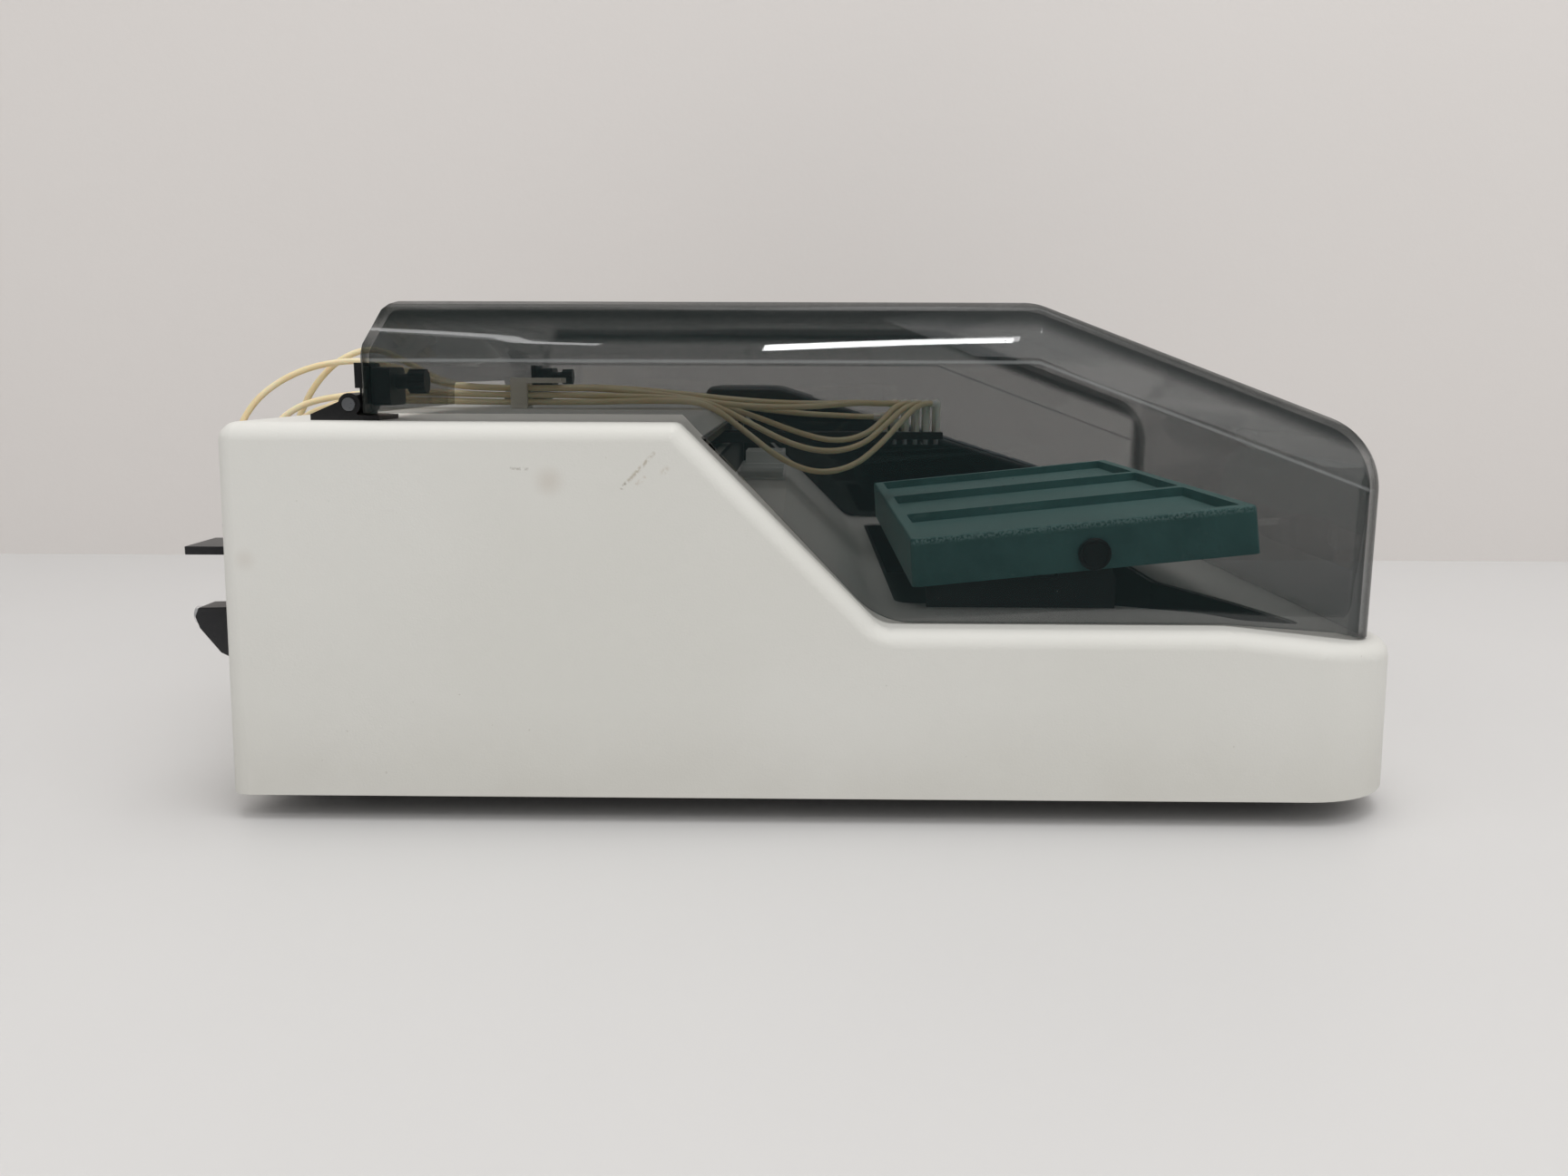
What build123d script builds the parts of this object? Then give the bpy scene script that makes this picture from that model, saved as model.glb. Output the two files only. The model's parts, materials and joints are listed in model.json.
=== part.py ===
from build123d import *
import os
from math import atan2, cos, pi, radians, sin, tan

# Strip processor, millimetres.
# X runs from the rear of the instrument to its front, Y from the open side
# to the console side, Z up. The origin is on the bench, under the middle.

os.makedirs("parts", exist_ok=True)

# Housing
half_width = 240
rear_x = -217
front_x = 233
foot_height = 10
deck_z = 150.5
low_z = 74.5
slope_top_x = -45
slope_foot_x = 31
wall = 4
wall_draft = 1.2
front_corner = 40
rear_corner = 9
edge_round = 7
dip_start_x = 162
dip_end = (216, 68.4)

# Well of the housing: a notch in the slope, and a pit under the platform
notch_x = (-38.5, -6)
notch_y = (-205, 122)
shelf_z = 112
pit_near_y = -180
pit_far_y = 96
pit_x = (40, 165)
pit_floor_z = 42

# Base pan and its screws
pan_top_z = foot_height + 3
screw_r = 1.5
screw_places = [(x, y, pan_top_z) for x in (-200, -8, 184) for y in (-231, 231)]

# Lid
lid_rear_x = -165.5
lid_front_x = 221
lid_near_y = -224
lid_far_y = 134
lid_top_z = 195
lid_crease_z = 173
lid_chamfer = 10
lid_break_x = 88
lid_break_end = (206, 151)
lid_nose_z = 129
lid_gap = 0.4
lid_wall = 3

# Lid hinges
hinge_x = -170.5
hinge_z = 156.5
hinge_offset = 160
hinge_width = 24
lid_middle_y = (lid_near_y + lid_far_y) / 2

# Rocking platform, drawn in its own plane, which is tilted about the axle
axle_x = 118
axle_z = 97.8
platform_tilt = 6
platform_u = (-73.4, 66.6)
platform_w = (-6.6, 13.1)
platform_y = (-195, 63)
bay_depth = 4
bay_rim = 5
axle_r = 2.5
running_gap = 0.05

# Rocker gears
gear_module = 1
sector_teeth = 56
pinion_teeth = 16
gear_y = (38, 44)

# Dispensing head
head_y = -20
nozzle_first_x = 50.1
nozzle_pitch = 5.5
nozzle_count = 5
manifold_z = (133.8, 137.6)
rod_x = (-66, -100)
rod_z = 122
rod_r = 4
slot_z = (130, 140.5)
slot_middle_y = -52.5
slot_length = 291

# Tubes
tube_r = 1.5
port_z = 108
port_pitch = 10
port_first_y = -110
port_tip_x = -230
port_collar_r = 2.4
barb_r = 1.9
clip_x = (-143, -135)
clip_y = (-67.5, -53)
clip_top_z = 165.5
stack_y = (-62, -58.5)
stack_z = (153.6, 157, 160.4)

# Mains inlet on the rear wall
inlet_y = 150
inlet_z = 48
inlet_size = (56, 28)

# Console
console_y = (140, 229)
console_top_z = 159
console_break_x = -14
console_fall = 17.3
console_x = (-62, 222)

platform_plane = Plane(
    origin=(axle_x, 0, axle_z),
    x_dir=(cos(radians(platform_tilt)), 0, sin(radians(platform_tilt))),
    z_dir=(-sin(radians(platform_tilt)), 0, cos(radians(platform_tilt))),
)


def save(piece, name):
    """Labels a finished piece and writes it under its own name."""
    piece.label = name
    export_step(piece, f"parts/{name}.step")


def xz_plane(y):
    """Plane facing -Y at depth y, with X to the right and Z up."""
    return Plane(origin=(0, y, 0), x_dir=(1, 0, 0), z_dir=(0, -1, 0))


def tapered_block(inset, top):
    """The housing's footprint drawn up to a height with its moulding draft."""
    with BuildPart() as block:
        with BuildSketch(Plane.XY.offset(foot_height)) as plan:
            with Locations(((rear_x + front_x) / 2, 0)):
                Rectangle(front_x - rear_x - 2 * inset, 2 * (half_width - inset))
            fillet(plan.vertices().sort_by(Axis.X)[:2], max(rear_corner - inset, 2))
            fillet(plan.vertices().sort_by(Axis.X)[-2:], front_corner - inset)
        extrude(amount=top - foot_height, taper=wall_draft)
    return block.part


def air_above(drop):
    """All that lies above the housing's side profile, lowered by drop."""
    slip = drop * tan(radians(22.5))
    with BuildPart() as air:
        with BuildSketch(Plane.XZ) as side:
            with BuildLine():
                Polyline(
                    (rear_x - 60, deck_z - drop),
                    (slope_top_x - slip, deck_z - drop),
                    (slope_foot_x - slip, low_z - drop),
                    (dip_start_x, low_z - drop),
                    (dip_end[0], dip_end[1] - drop),
                    (front_x + 60, dip_end[1] - 1 - drop),
                    (front_x + 60, deck_z + 80),
                    (rear_x - 60, deck_z + 80),
                    close=True,
                )
            make_face()
            for x, z, radius in (
                (slope_top_x - slip, deck_z, 5),
                (slope_foot_x - slip, low_z, 12),
                (dip_start_x, low_z, 60),
                (dip_end[0], dip_end[1], 60),
            ):
                fillet(side.vertices().sort_by_distance((x, z - drop))[0], radius)
        extrude(amount=half_width + 40, both=True)
    return air.part


def box_between(low, high, mode=Mode.ADD):
    """A box given by its two opposite corners, in the part that is being built."""
    with Locations(tuple((a + b) / 2 for a, b in zip(low, high))):
        Box(*[b - a for a, b in zip(low, high)], mode=mode)


def cylinder_along_y(x, z, radius, y_from, y_to, mode=Mode.ADD):
    """A cylinder whose axis is parallel to Y."""
    with Locations((x, (y_from + y_to) / 2, z)):
        Cylinder(radius, y_to - y_from, rotation=(90, 0, 0), mode=mode)


def pit_outline(grow):
    """Plan of the pit: straight near side, and a tongue towards the front corner."""
    with BuildSketch() as plan:
        with BuildLine():
            Polyline(
                (pit_x[0], pit_near_y),
                (130, pit_near_y - 3),
                (174, pit_near_y - 26),
                (204, pit_near_y - 18),
                (188, pit_near_y + 22),
                (pit_x[1], pit_near_y + 62),
                (pit_x[1], pit_far_y),
                (pit_x[0], pit_far_y),
                close=True,
            )
        make_face()
        fillet(plan.vertices(), 8)
        if grow:
            offset(amount=grow, kind=Kind.ARC)
    return plan.sketch


# Housing: one moulded white shell with a sloped front deck
outer_block = tapered_block(0, deck_z)

with BuildPart() as cavity:
    add(tapered_block(wall, deck_z - wall))
    add(air_above(wall), mode=Mode.SUBTRACT)
    with BuildSketch(xz_plane(notch_y[0] - wall)):
        with Locations(((notch_x[0] + notch_x[1]) / 2, shelf_z - wall)):
            Rectangle(
                notch_x[1] - notch_x[0] + 2 * wall,
                80,
                align=(Align.CENTER, Align.MIN),
            )
    extrude(amount=-(notch_y[1] - notch_y[0] + 2 * wall), mode=Mode.SUBTRACT)
    with BuildSketch(Plane.XY.offset(pit_floor_z - wall)):
        add(pit_outline(wall))
    extrude(amount=80, mode=Mode.SUBTRACT)

with BuildPart() as outer_form:
    add(outer_block)
    add(air_above(0), mode=Mode.SUBTRACT)
    top_edges = [
        edge
        for face in outer_form.faces()
        if face.normal_at().Z > 0.3
        for edge in face.edges()
    ]
    rim_edges = [e for e in top_edges if sum(e.is_same(other) for other in top_edges) == 1]
    fillet(rim_edges, edge_round)

with BuildPart() as housing:
    add(outer_form.part)
    add(cavity.part, mode=Mode.SUBTRACT)
    # Notch in the slope, and the pit in the low deck
    with BuildSketch(xz_plane(notch_y[0])):
        with Locations(((notch_x[0] + notch_x[1]) / 2, shelf_z)):
            Rectangle(notch_x[1] - notch_x[0], 80, align=(Align.CENTER, Align.MIN))
    extrude(amount=-(notch_y[1] - notch_y[0]), mode=Mode.SUBTRACT)
    with BuildSketch(Plane.XY.offset(pit_floor_z)):
        add(pit_outline(0))
    extrude(amount=60, mode=Mode.SUBTRACT)
    # Slot for the head's arm, through the notch's rear wall
    with Locations((notch_x[0] - wall / 2, slot_middle_y, sum(slot_z) / 2)):
        Box(wall * 4, slot_length, slot_z[1] - slot_z[0], mode=Mode.SUBTRACT)
    # Cut-out for the mains inlet in the rear wall
    with Locations((rear_x + wall, inlet_y, inlet_z)):
        Box(wall * 4, inlet_size[0], inlet_size[1], mode=Mode.SUBTRACT)
    # Screw bosses along the side walls
    with Locations(*screw_places):
        Cylinder(5, 30, align=(Align.CENTER, Align.CENTER, Align.MIN))
        Cylinder(screw_r, 14, align=(Align.CENTER, Align.CENTER, Align.MIN), mode=Mode.SUBTRACT)
save(housing.part, "housing")


# Drip liner: black tray in the pit
with BuildPart() as drip_liner:
    with BuildSketch(Plane.XY.offset(pit_floor_z)):
        add(pit_outline(-0.2))
    extrude(amount=40)
    with BuildSketch(Plane.XY.offset(pit_floor_z + 2)):
        add(pit_outline(-2.2))
    extrude(amount=40, mode=Mode.SUBTRACT)
    add(air_above(0.8), mode=Mode.SUBTRACT)
save(drip_liner.part, "drip_liner")

# Base pan with ventilation slots, and four feet
with BuildPart() as base_pan:
    with BuildSketch(Plane.XY.offset(foot_height)) as pan_plan:
        with Locations(((rear_x + front_x) / 2, 0)):
            Rectangle(front_x - rear_x - 2 * wall - 1, 2 * (half_width - wall) - 1)
        fillet(pan_plan.vertices().sort_by(Axis.X)[:2], 5)
        fillet(pan_plan.vertices().sort_by(Axis.X)[-2:], front_corner - wall)
        with Locations((-150, 110), (60, -120)):
            with GridLocations(9, 0, 8, 1):
                SlotOverall(44, 4, rotation=90, mode=Mode.SUBTRACT)
    extrude(amount=pan_top_z - foot_height)
    with Locations(*screw_places):
        Cylinder(screw_r, 20, mode=Mode.SUBTRACT)
save(base_pan.part, "base_pan")

with BuildPart() as pan_screws:
    with Locations(*screw_places):
        with Locations((0, 0, foot_height - pan_top_z)):
            Cylinder(3, 1.8, align=(Align.CENTER, Align.CENTER, Align.MAX))
            Cylinder(screw_r, 15, align=(Align.CENTER, Align.CENTER, Align.MIN))
save(pan_screws.part, "pan_screws")

with BuildPart() as feet:
    with BuildSketch(Plane.XY):
        with Locations((8, 0)):
            with GridLocations(360, 400, 2, 2):
                Circle(10)
    extrude(amount=foot_height, taper=-8)
save(feet.part, "feet")

# Black lining of the notch, with the slot that the head's arm runs in
panel_top_z = 143.6
with BuildPart() as slot_panel:
    with BuildSketch(Plane(origin=(notch_x[0] + 0.1, 0, 0), x_dir=(0, 1, 0), z_dir=(1, 0, 0))):
        with Locations((sum(notch_y) / 2, (shelf_z + panel_top_z) / 2)):
            Rectangle(notch_y[1] - notch_y[0] - 0.6, panel_top_z - shelf_z - 0.4)
        with Locations((slot_middle_y, sum(slot_z) / 2)):
            RectangleRounded(
                slot_length - 2, slot_z[1] - slot_z[0], 1.5, mode=Mode.SUBTRACT
            )
    extrude(amount=2)
    # Cheek at the far end of the notch
    with BuildSketch(xz_plane(notch_y[1] - 0.3)):
        with BuildLine():
            Polyline(
                (notch_x[0] + 2.6, shelf_z + 0.3),
                (notch_x[1] - 2, shelf_z + 0.3),
                (notch_x[0] + 2.6, deck_z - 9.5),
                close=True,
            )
        make_face()
    extrude(amount=2)
save(slot_panel.part, "slot_panel")

# Priming trough at the far end of the shelf, with its three ribs
trough_x = (-34, -8)
trough_y = (-24, 112)
trough_plate = 1.2
rib_places = (-20, 12, 44)
rib_height = 2.8
tank_y = (76, 108)
tank_height = 7.8
tank_wall = 2
tank_base_z = shelf_z + trough_plate

with BuildPart() as priming_trough:
    box_between((trough_x[0], trough_y[0], shelf_z), (trough_x[1], trough_y[1], tank_base_z))
    for rib_y in rib_places:
        box_between(
            (trough_x[0] + 1, rib_y, tank_base_z),
            (trough_x[1] - 1, rib_y + tank_wall, tank_base_z + rib_height),
        )
    box_between(
        (trough_x[0] + 1, tank_y[0], tank_base_z),
        (trough_x[1] - 1, tank_y[1], tank_base_z + tank_height),
    )
    box_between(
        (trough_x[0] + 1 + tank_wall, tank_y[0] + tank_wall, tank_base_z + trough_plate),
        (trough_x[1] - 1 - tank_wall, tank_y[1] - tank_wall, tank_base_z + tank_height),
        mode=Mode.SUBTRACT,
    )
save(priming_trough.part, "priming_trough")


# Lid: thermoformed smoked shell, with an inclined panel round its upper edge
lid_fall = atan2(lid_top_z - lid_break_end[1], lid_break_end[0] - lid_break_x)
lid_lean = atan2(lid_chamfer, lid_top_z - lid_crease_z)
crease_round = 20
rim_round = 8


def rim_planes(corner, outward, upward, rise, inset):
    """Planes that lean in over one wall: a soft crease, the inclined panel, a soft rim."""
    soft_rim = rim_round - inset
    panel_run = rise * tan(lid_lean) + soft_rim * (1 - sin(lid_lean)) / cos(lid_lean)
    turn = pi / 2 - lid_lean
    steps = [
        (-crease_round, -crease_round * tan(lid_lean / 2), crease_round, lid_lean / 2),
        (0, 0, 0, lid_lean),
        (-panel_run, rise - soft_rim, soft_rim, lid_lean + turn / 3),
        (-panel_run, rise - soft_rim, soft_rim, lid_lean + 2 * turn / 3),
    ]
    planes = []
    for across, up, radius, angle in steps:
        normal = outward * cos(angle) + upward * sin(angle)
        origin = corner + outward * across + upward * up + normal * radius
        planes.append(Plane(origin=origin, z_dir=normal))
    return planes


def lid_form(inset):
    """The lid's closed outer form, or its inner form when inset by the wall."""
    slip = inset * tan(lid_fall / 2)
    rise = lid_top_z - inset - lid_crease_z
    nose_run = lid_front_x - inset - (lid_break_x - slip)
    slope_up = Vector(sin(lid_fall), 0, cos(lid_fall))
    slope_rise = rise * cos(lid_fall) - slip * sin(lid_fall)
    planes = rim_planes(
        Vector(lid_rear_x + inset, 0, lid_crease_z), Vector(-1, 0, 0), Vector(0, 0, 1), rise, inset
    )
    for side_y, sign in ((lid_near_y + inset, -1), (lid_far_y - inset, 1)):
        corner, outward = Vector(lid_break_x, side_y, lid_crease_z), Vector(0, sign, 0)
        planes += rim_planes(corner, outward, Vector(0, 0, 1), rise, inset)
        planes += rim_planes(corner, outward, slope_up, slope_rise, inset)
    with BuildPart() as form:
        with BuildSketch(xz_plane(lid_near_y + inset)) as side:
            with BuildLine():
                Polyline(
                    (lid_rear_x + inset, 40),
                    (lid_rear_x + inset, lid_top_z - inset),
                    (lid_break_x - slip, lid_top_z - inset),
                    (lid_front_x - inset, lid_top_z - inset - nose_run * tan(lid_fall)),
                    (lid_front_x - inset, 40),
                    close=True,
                )
            make_face()
            nose = side.vertices().sort_by(Axis.X)[-2:].sort_by(Axis.Y)[-1]
            fillet(nose, 30 - inset)
            fillet(side.vertices().sort_by_distance((lid_break_x - slip, lid_top_z))[0], 25)
        extrude(amount=-(lid_far_y - lid_near_y - 2 * inset))
        uprights = form.edges().filter_by(Axis.Z)
        fillet(uprights.sort_by(Axis.X)[:2], 9 - inset)
        fillet(uprights.sort_by(Axis.X)[-2:], 14 - inset)
        for plane in planes:
            split(bisect_by=plane, keep=Keep.BOTTOM)
    return form.part


with BuildPart() as lid_shell:
    add(lid_form(0))
    add(lid_form(lid_wall), mode=Mode.SUBTRACT)
    with BuildSketch(Plane.XZ) as below:
        with BuildLine():
            Polyline(
                (lid_rear_x - 40, deck_z + 2.9),
                (-43.7, deck_z + 2.9),
                (30.8, low_z + lid_gap),
                (dip_start_x, low_z + lid_gap),
                (204, 72),
                (lid_front_x - 4, 69.2),
                (lid_front_x + 40, 69),
                (lid_front_x + 40, 0),
                (lid_rear_x - 40, 0),
                close=True,
            )
        make_face()
        fillet(below.vertices().sort_by_distance((30.8, low_z + lid_gap))[0], 30)
    extrude(amount=half_width + 40, both=True, mode=Mode.SUBTRACT)
    # Cut-out in the rear wall for the tubes
    with BuildSketch(Plane(origin=(lid_rear_x - 5, 0, 0), x_dir=(0, 1, 0), z_dir=(1, 0, 0))) as gap:
        with Locations((-39, 150)):
            Rectangle(118, 27)
        fillet(gap.vertices().group_by(Axis.Y)[-1], 4)
    extrude(amount=12, mode=Mode.SUBTRACT)
save(lid_shell.part, "lid_shell")

# Lid hinges: friction hinges on the top deck, the same piece on both sides
hinge_sides = (lid_middle_y - hinge_offset, lid_middle_y + hinge_offset)
barrel_r = 4.2
lug_width = 6
pin_r = 1.5
leaf_half = hinge_width / 2 - lug_width - 0.3

with BuildPart() as hinge_bases:
    for middle in hinge_sides:
        with BuildSketch(xz_plane(middle - hinge_width / 2)):
            with BuildLine():
                Polyline(
                    (hinge_x - 15, deck_z),
                    (hinge_x + 11, deck_z),
                    (hinge_x + 11, deck_z + 1.6),
                    (hinge_x + 3, deck_z + 2),
                    (hinge_x, hinge_z),
                    (hinge_x - 4, hinge_z + 1),
                    (hinge_x - 15, deck_z + 2.2),
                    close=True,
                )
            make_face()
            with Locations((hinge_x, hinge_z)):
                Circle(barrel_r)
        extrude(amount=-hinge_width)
        cylinder_along_y(
            hinge_x, hinge_z, barrel_r + 0.4, middle - leaf_half - 0.3, middle + leaf_half + 0.3,
            mode=Mode.SUBTRACT,
        )
        cylinder_along_y(
            hinge_x, hinge_z, pin_r, middle - hinge_width, middle + hinge_width, mode=Mode.SUBTRACT
        )
save(hinge_bases.part, "hinge_bases")

with BuildPart() as hinge_pins:
    for middle in hinge_sides:
        cylinder_along_y(hinge_x, hinge_z, pin_r, middle - hinge_width / 2, middle + hinge_width / 2)
        cylinder_along_y(
            hinge_x, hinge_z, pin_r + 1, middle - hinge_width / 2 - 1, middle - hinge_width / 2
        )
save(hinge_pins.part, "hinge_pins")

leaf_top = 172
with BuildPart() as hinge_leaves:
    for middle in hinge_sides:
        cylinder_along_y(hinge_x, hinge_z, barrel_r, middle - leaf_half, middle + leaf_half)
        box_between(
            (lid_rear_x - 2.9, middle - leaf_half, hinge_z),
            (lid_rear_x, middle + leaf_half, leaf_top),
        )
        box_between(
            (lid_rear_x - 2.9, middle - 11, hinge_z + 6),
            (lid_rear_x, middle + 11, leaf_top),
        )
        cylinder_along_y(
            hinge_x, hinge_z, pin_r + running_gap, middle - 10, middle + 10, mode=Mode.SUBTRACT
        )
save(hinge_leaves.part, "hinge_leaves")

clamp_x = lid_rear_x + lid_wall
clamp_width = 9.8
clamp_depth = 7
knob_z = 165
knob_r = 4.8
knob_stem = 5
with BuildPart() as hinge_clamps:
    for middle in hinge_sides:
        box_between(
            (clamp_x, middle - clamp_width, 156),
            (clamp_x + clamp_depth, middle + clamp_width, 170.4),
        )
    fillet(hinge_clamps.edges().filter_by(Axis.X), 2.5)
save(hinge_clamps.part, "hinge_clamps")


def yz_plane(x):
    """Plane facing +X at x, with Y to the right and Z up."""
    return Plane(origin=(x, 0, 0), x_dir=(0, 1, 0), z_dir=(1, 0, 0))


with BuildPart() as hinge_knobs:
    for middle in hinge_sides:
        with BuildSketch(yz_plane(clamp_x + clamp_depth)):
            with Locations((middle, knob_z)):
                Circle(3)
        extrude(amount=knob_stem)
        with BuildSketch(yz_plane(clamp_x + clamp_depth + knob_stem)):
            with Locations((middle, knob_z)):
                Circle(knob_r)
                with PolarLocations(knob_r, 12):
                    Circle(0.6, mode=Mode.SUBTRACT)
        extrude(amount=6.5)
save(hinge_knobs.part, "hinge_knobs")

# Rocking platform: a green tray with three bays, hollow underneath
u_low, u_high = platform_u
w_low, w_high = platform_w
u_middle = (u_low + u_high) / 2
platform_length = u_high - u_low
platform_width = platform_y[1] - platform_y[0]
platform_middle_y = sum(platform_y) / 2
bay_width = (platform_width - 4 * bay_rim) / 3
bay_length = platform_length - 2 * bay_rim
skin = 2.5
side_wall = 4


def tilted(height):
    """The platform's own plane at a height above its axle, facing up."""
    return platform_plane.offset(height)


with BuildPart() as platform:
    with BuildSketch(tilted(w_low)) as outline:
        with Locations((u_middle, platform_middle_y)):
            RectangleRounded(platform_length, platform_width, 3)
    extrude(amount=w_high - w_low, taper=1.8)
    fillet(platform.faces().sort_by(Axis.Z)[-1].edges(), 1.6)
    with BuildSketch(tilted(w_high)):
        with Locations((u_middle, platform_middle_y)):
            with GridLocations(0, bay_width + bay_rim, 1, 3):
                RectangleRounded(bay_length - 2, bay_width - 1.5, 2)
    extrude(amount=-bay_depth, taper=8, mode=Mode.SUBTRACT)
    with BuildSketch(tilted(w_low)):
        with Locations((u_middle, platform_middle_y)):
            Rectangle(platform_length - 2 * side_wall, platform_width - 2 * side_wall)
            with GridLocations(0, bay_width + bay_rim, 1, 2):
                Rectangle(platform_length, 2.5, mode=Mode.SUBTRACT)
    extrude(amount=w_high - bay_depth - skin - w_low, mode=Mode.SUBTRACT)
    cylinder_along_y(
        axle_x, axle_z, axle_r, platform_y[0] - 1, platform_y[1] + 1, mode=Mode.SUBTRACT
    )
save(platform.part, "platform")

with BuildPart() as axle:
    cylinder_along_y(axle_x, axle_z, axle_r, platform_y[0], platform_y[1])
save(axle.part, "axle")

cap_r = 6.5
with BuildPart() as pivot_caps:
    with BuildSketch(Plane(origin=(axle_x, 0, axle_z), x_dir=(1, 0, 0), z_dir=(0, 0, 1))):
        for face_y, way in ((platform_y[0], -1), (platform_y[1], 1)):
            with BuildLine():
                Polyline(
                    (0, face_y),
                    (cap_r, face_y),
                    (cap_r, face_y + way * 2.2),
                    (cap_r - 0.6, face_y + way * 2.8),
                    (cap_r - 1.3, face_y + way * 2.8),
                    (cap_r - 1.7, face_y + way * 2),
                    (0, face_y + way * 2),
                    close=True,
                )
            make_face()
    revolve(axis=Axis((axle_x, 0, axle_z), (0, 1, 0)))
save(pivot_caps.part, "pivot_caps")

# Pivot brackets with their bushes
bush_r = 4
near_plate = (-189, -185)
far_plate = (52, 56)
liner_floor = pit_floor_z + 2


def bracket_plate(foot_left, foot_right, foot_z, shoulder_z):
    """Side view of a pivot bracket: a plate with a round head at the axle."""
    with BuildSketch() as sketch:
        with BuildLine():
            Polyline(
                (foot_left, foot_z),
                (foot_right, foot_z),
                (foot_right, shoulder_z),
                (axle_x + 6, axle_z),
                (axle_x - 6, axle_z),
                (axle_x - 14, shoulder_z),
                (foot_left, shoulder_z),
                close=True,
            )
        make_face()
        with Locations((axle_x, axle_z)):
            Circle(6)
            Circle(bush_r, mode=Mode.SUBTRACT)
    return sketch.sketch


with BuildPart() as pivot_bracket_near:
    with BuildSketch(xz_plane(near_plate[0])):
        add(bracket_plate(52, 128.5, low_z, 87))
    extrude(amount=-(near_plate[1] - near_plate[0]))
save(pivot_bracket_near.part, "pivot_bracket_near")

with BuildPart() as pivot_bracket_far:
    with BuildSketch(xz_plane(far_plate[0])):
        add(bracket_plate(96, 140, liner_floor, 86))
        with Locations((axle_x, axle_z - (sector_teeth + pinion_teeth) * gear_module / 2)):
            Circle(6, mode=Mode.SUBTRACT)
    extrude(amount=-(far_plate[1] - far_plate[0]))
    box_between((96, far_plate[1], liner_floor), (140, 90, liner_floor + 3))
save(pivot_bracket_far.part, "pivot_bracket_far")

with BuildPart() as pivot_bushes:
    for low, high in (near_plate, far_plate):
        cylinder_along_y(axle_x, axle_z, bush_r, low, high)
        cylinder_along_y(
            axle_x, axle_z, axle_r + running_gap, low - 1, high + 1, mode=Mode.SUBTRACT
        )
save(pivot_bushes.part, "pivot_bushes")


# Rocker drive: a toothed sector under the platform, driven by a pinion
def tooth_ring(teeth, phase, first, count):
    """Straight-flanked teeth with rounded proportions, standing on a root circle."""
    pitch_r = teeth * gear_module / 2
    root_r = pitch_r - 1.2 * gear_module
    tip_r = pitch_r + 0.95 * gear_module
    step = 2 * pi / teeth
    with BuildSketch() as ring:
        for index in range(first, first + count):
            angle = phase + index * step
            corners = [
                (radius * cos(angle + lead * step), radius * sin(angle + lead * step))
                for radius, lead in (
                    (root_r - 0.5, -0.3),
                    (pitch_r, -0.225),
                    (tip_r, -0.11),
                    (tip_r, 0.11),
                    (pitch_r, 0.225),
                    (root_r - 0.5, 0.3),
                )
            ]
            with BuildLine():
                Polyline(*corners, close=True)
            make_face()
    return ring.sketch


pinion_z = axle_z - (sector_teeth + pinion_teeth) * gear_module / 2
sector_root = sector_teeth * gear_module / 2 - 1.2 * gear_module
pinion_root = pinion_teeth * gear_module / 2 - 1.2 * gear_module
sector_half = radians(28)

with BuildPart() as sector_gear:
    with BuildSketch(Plane(origin=(axle_x, gear_y[0], axle_z), x_dir=(1, 0, 0), z_dir=(0, -1, 0))):
        add(tooth_ring(sector_teeth, -pi / 2, -4, 9))
        with BuildLine():
            Line((0, 0), (sector_root * -sin(sector_half), -sector_root * cos(sector_half)))
            RadiusArc(
                (sector_root * -sin(sector_half), -sector_root * cos(sector_half)),
                (sector_root * sin(sector_half), -sector_root * cos(sector_half)),
                -sector_root,
            )
            Line((sector_root * sin(sector_half), -sector_root * cos(sector_half)), (0, 0))
        make_face()
        Circle(5.2)
        with Locations((0, -15)):
            Circle(4, mode=Mode.SUBTRACT)
        Circle(axle_r, mode=Mode.SUBTRACT)
    extrude(amount=-(gear_y[1] - gear_y[0]))
save(sector_gear.part, "sector_gear")

shaft_r = 2
with BuildPart() as pinion:
    with BuildSketch(Plane(origin=(axle_x, gear_y[0], pinion_z), x_dir=(1, 0, 0), z_dir=(0, -1, 0))):
        Circle(pinion_root)
        add(tooth_ring(pinion_teeth, pi / 2 + pi / pinion_teeth, 0, pinion_teeth))
    extrude(amount=-(gear_y[1] - gear_y[0]))
    cylinder_along_y(axle_x, pinion_z, shaft_r, gear_y[1], far_plate[1] + 12)
save(pinion.part, "pinion")

with BuildPart() as rocker_motor:
    box_between((100, far_plate[1], liner_floor + 3), (136, 90, 80))
    fillet(rocker_motor.edges().filter_by(Axis.Y), 4)
    cylinder_along_y(
        axle_x, pinion_z, shaft_r + running_gap, far_plate[1] - 1, far_plate[1] + 13,
        mode=Mode.SUBTRACT,
    )
save(rocker_motor.part, "rocker_motor")

# Dispensing head: it slides along Y on two rods behind the notch
bracket_near_y = (-230, -220)
bracket_far_y = (104, 114)
bracket_x = (-112, -54)
belt_x = sum(rod_x) / 2
shelf_top = 98
pulley_y = (-206, 84)
pulley_r = 8
shaft_bottom_z = shelf_top - 10
pulley_shaft_r = 2.5
belt_z = (100.5, 107.5)
belt_lift = 0.3
belt_back = 1.5
carriage_x = (-114, -52)
carriage_half = 20
carriage_z = (112, 132)
clamp_reach = (5, 14)
clamp_half = 8
arm_thickness = 5.6

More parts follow.
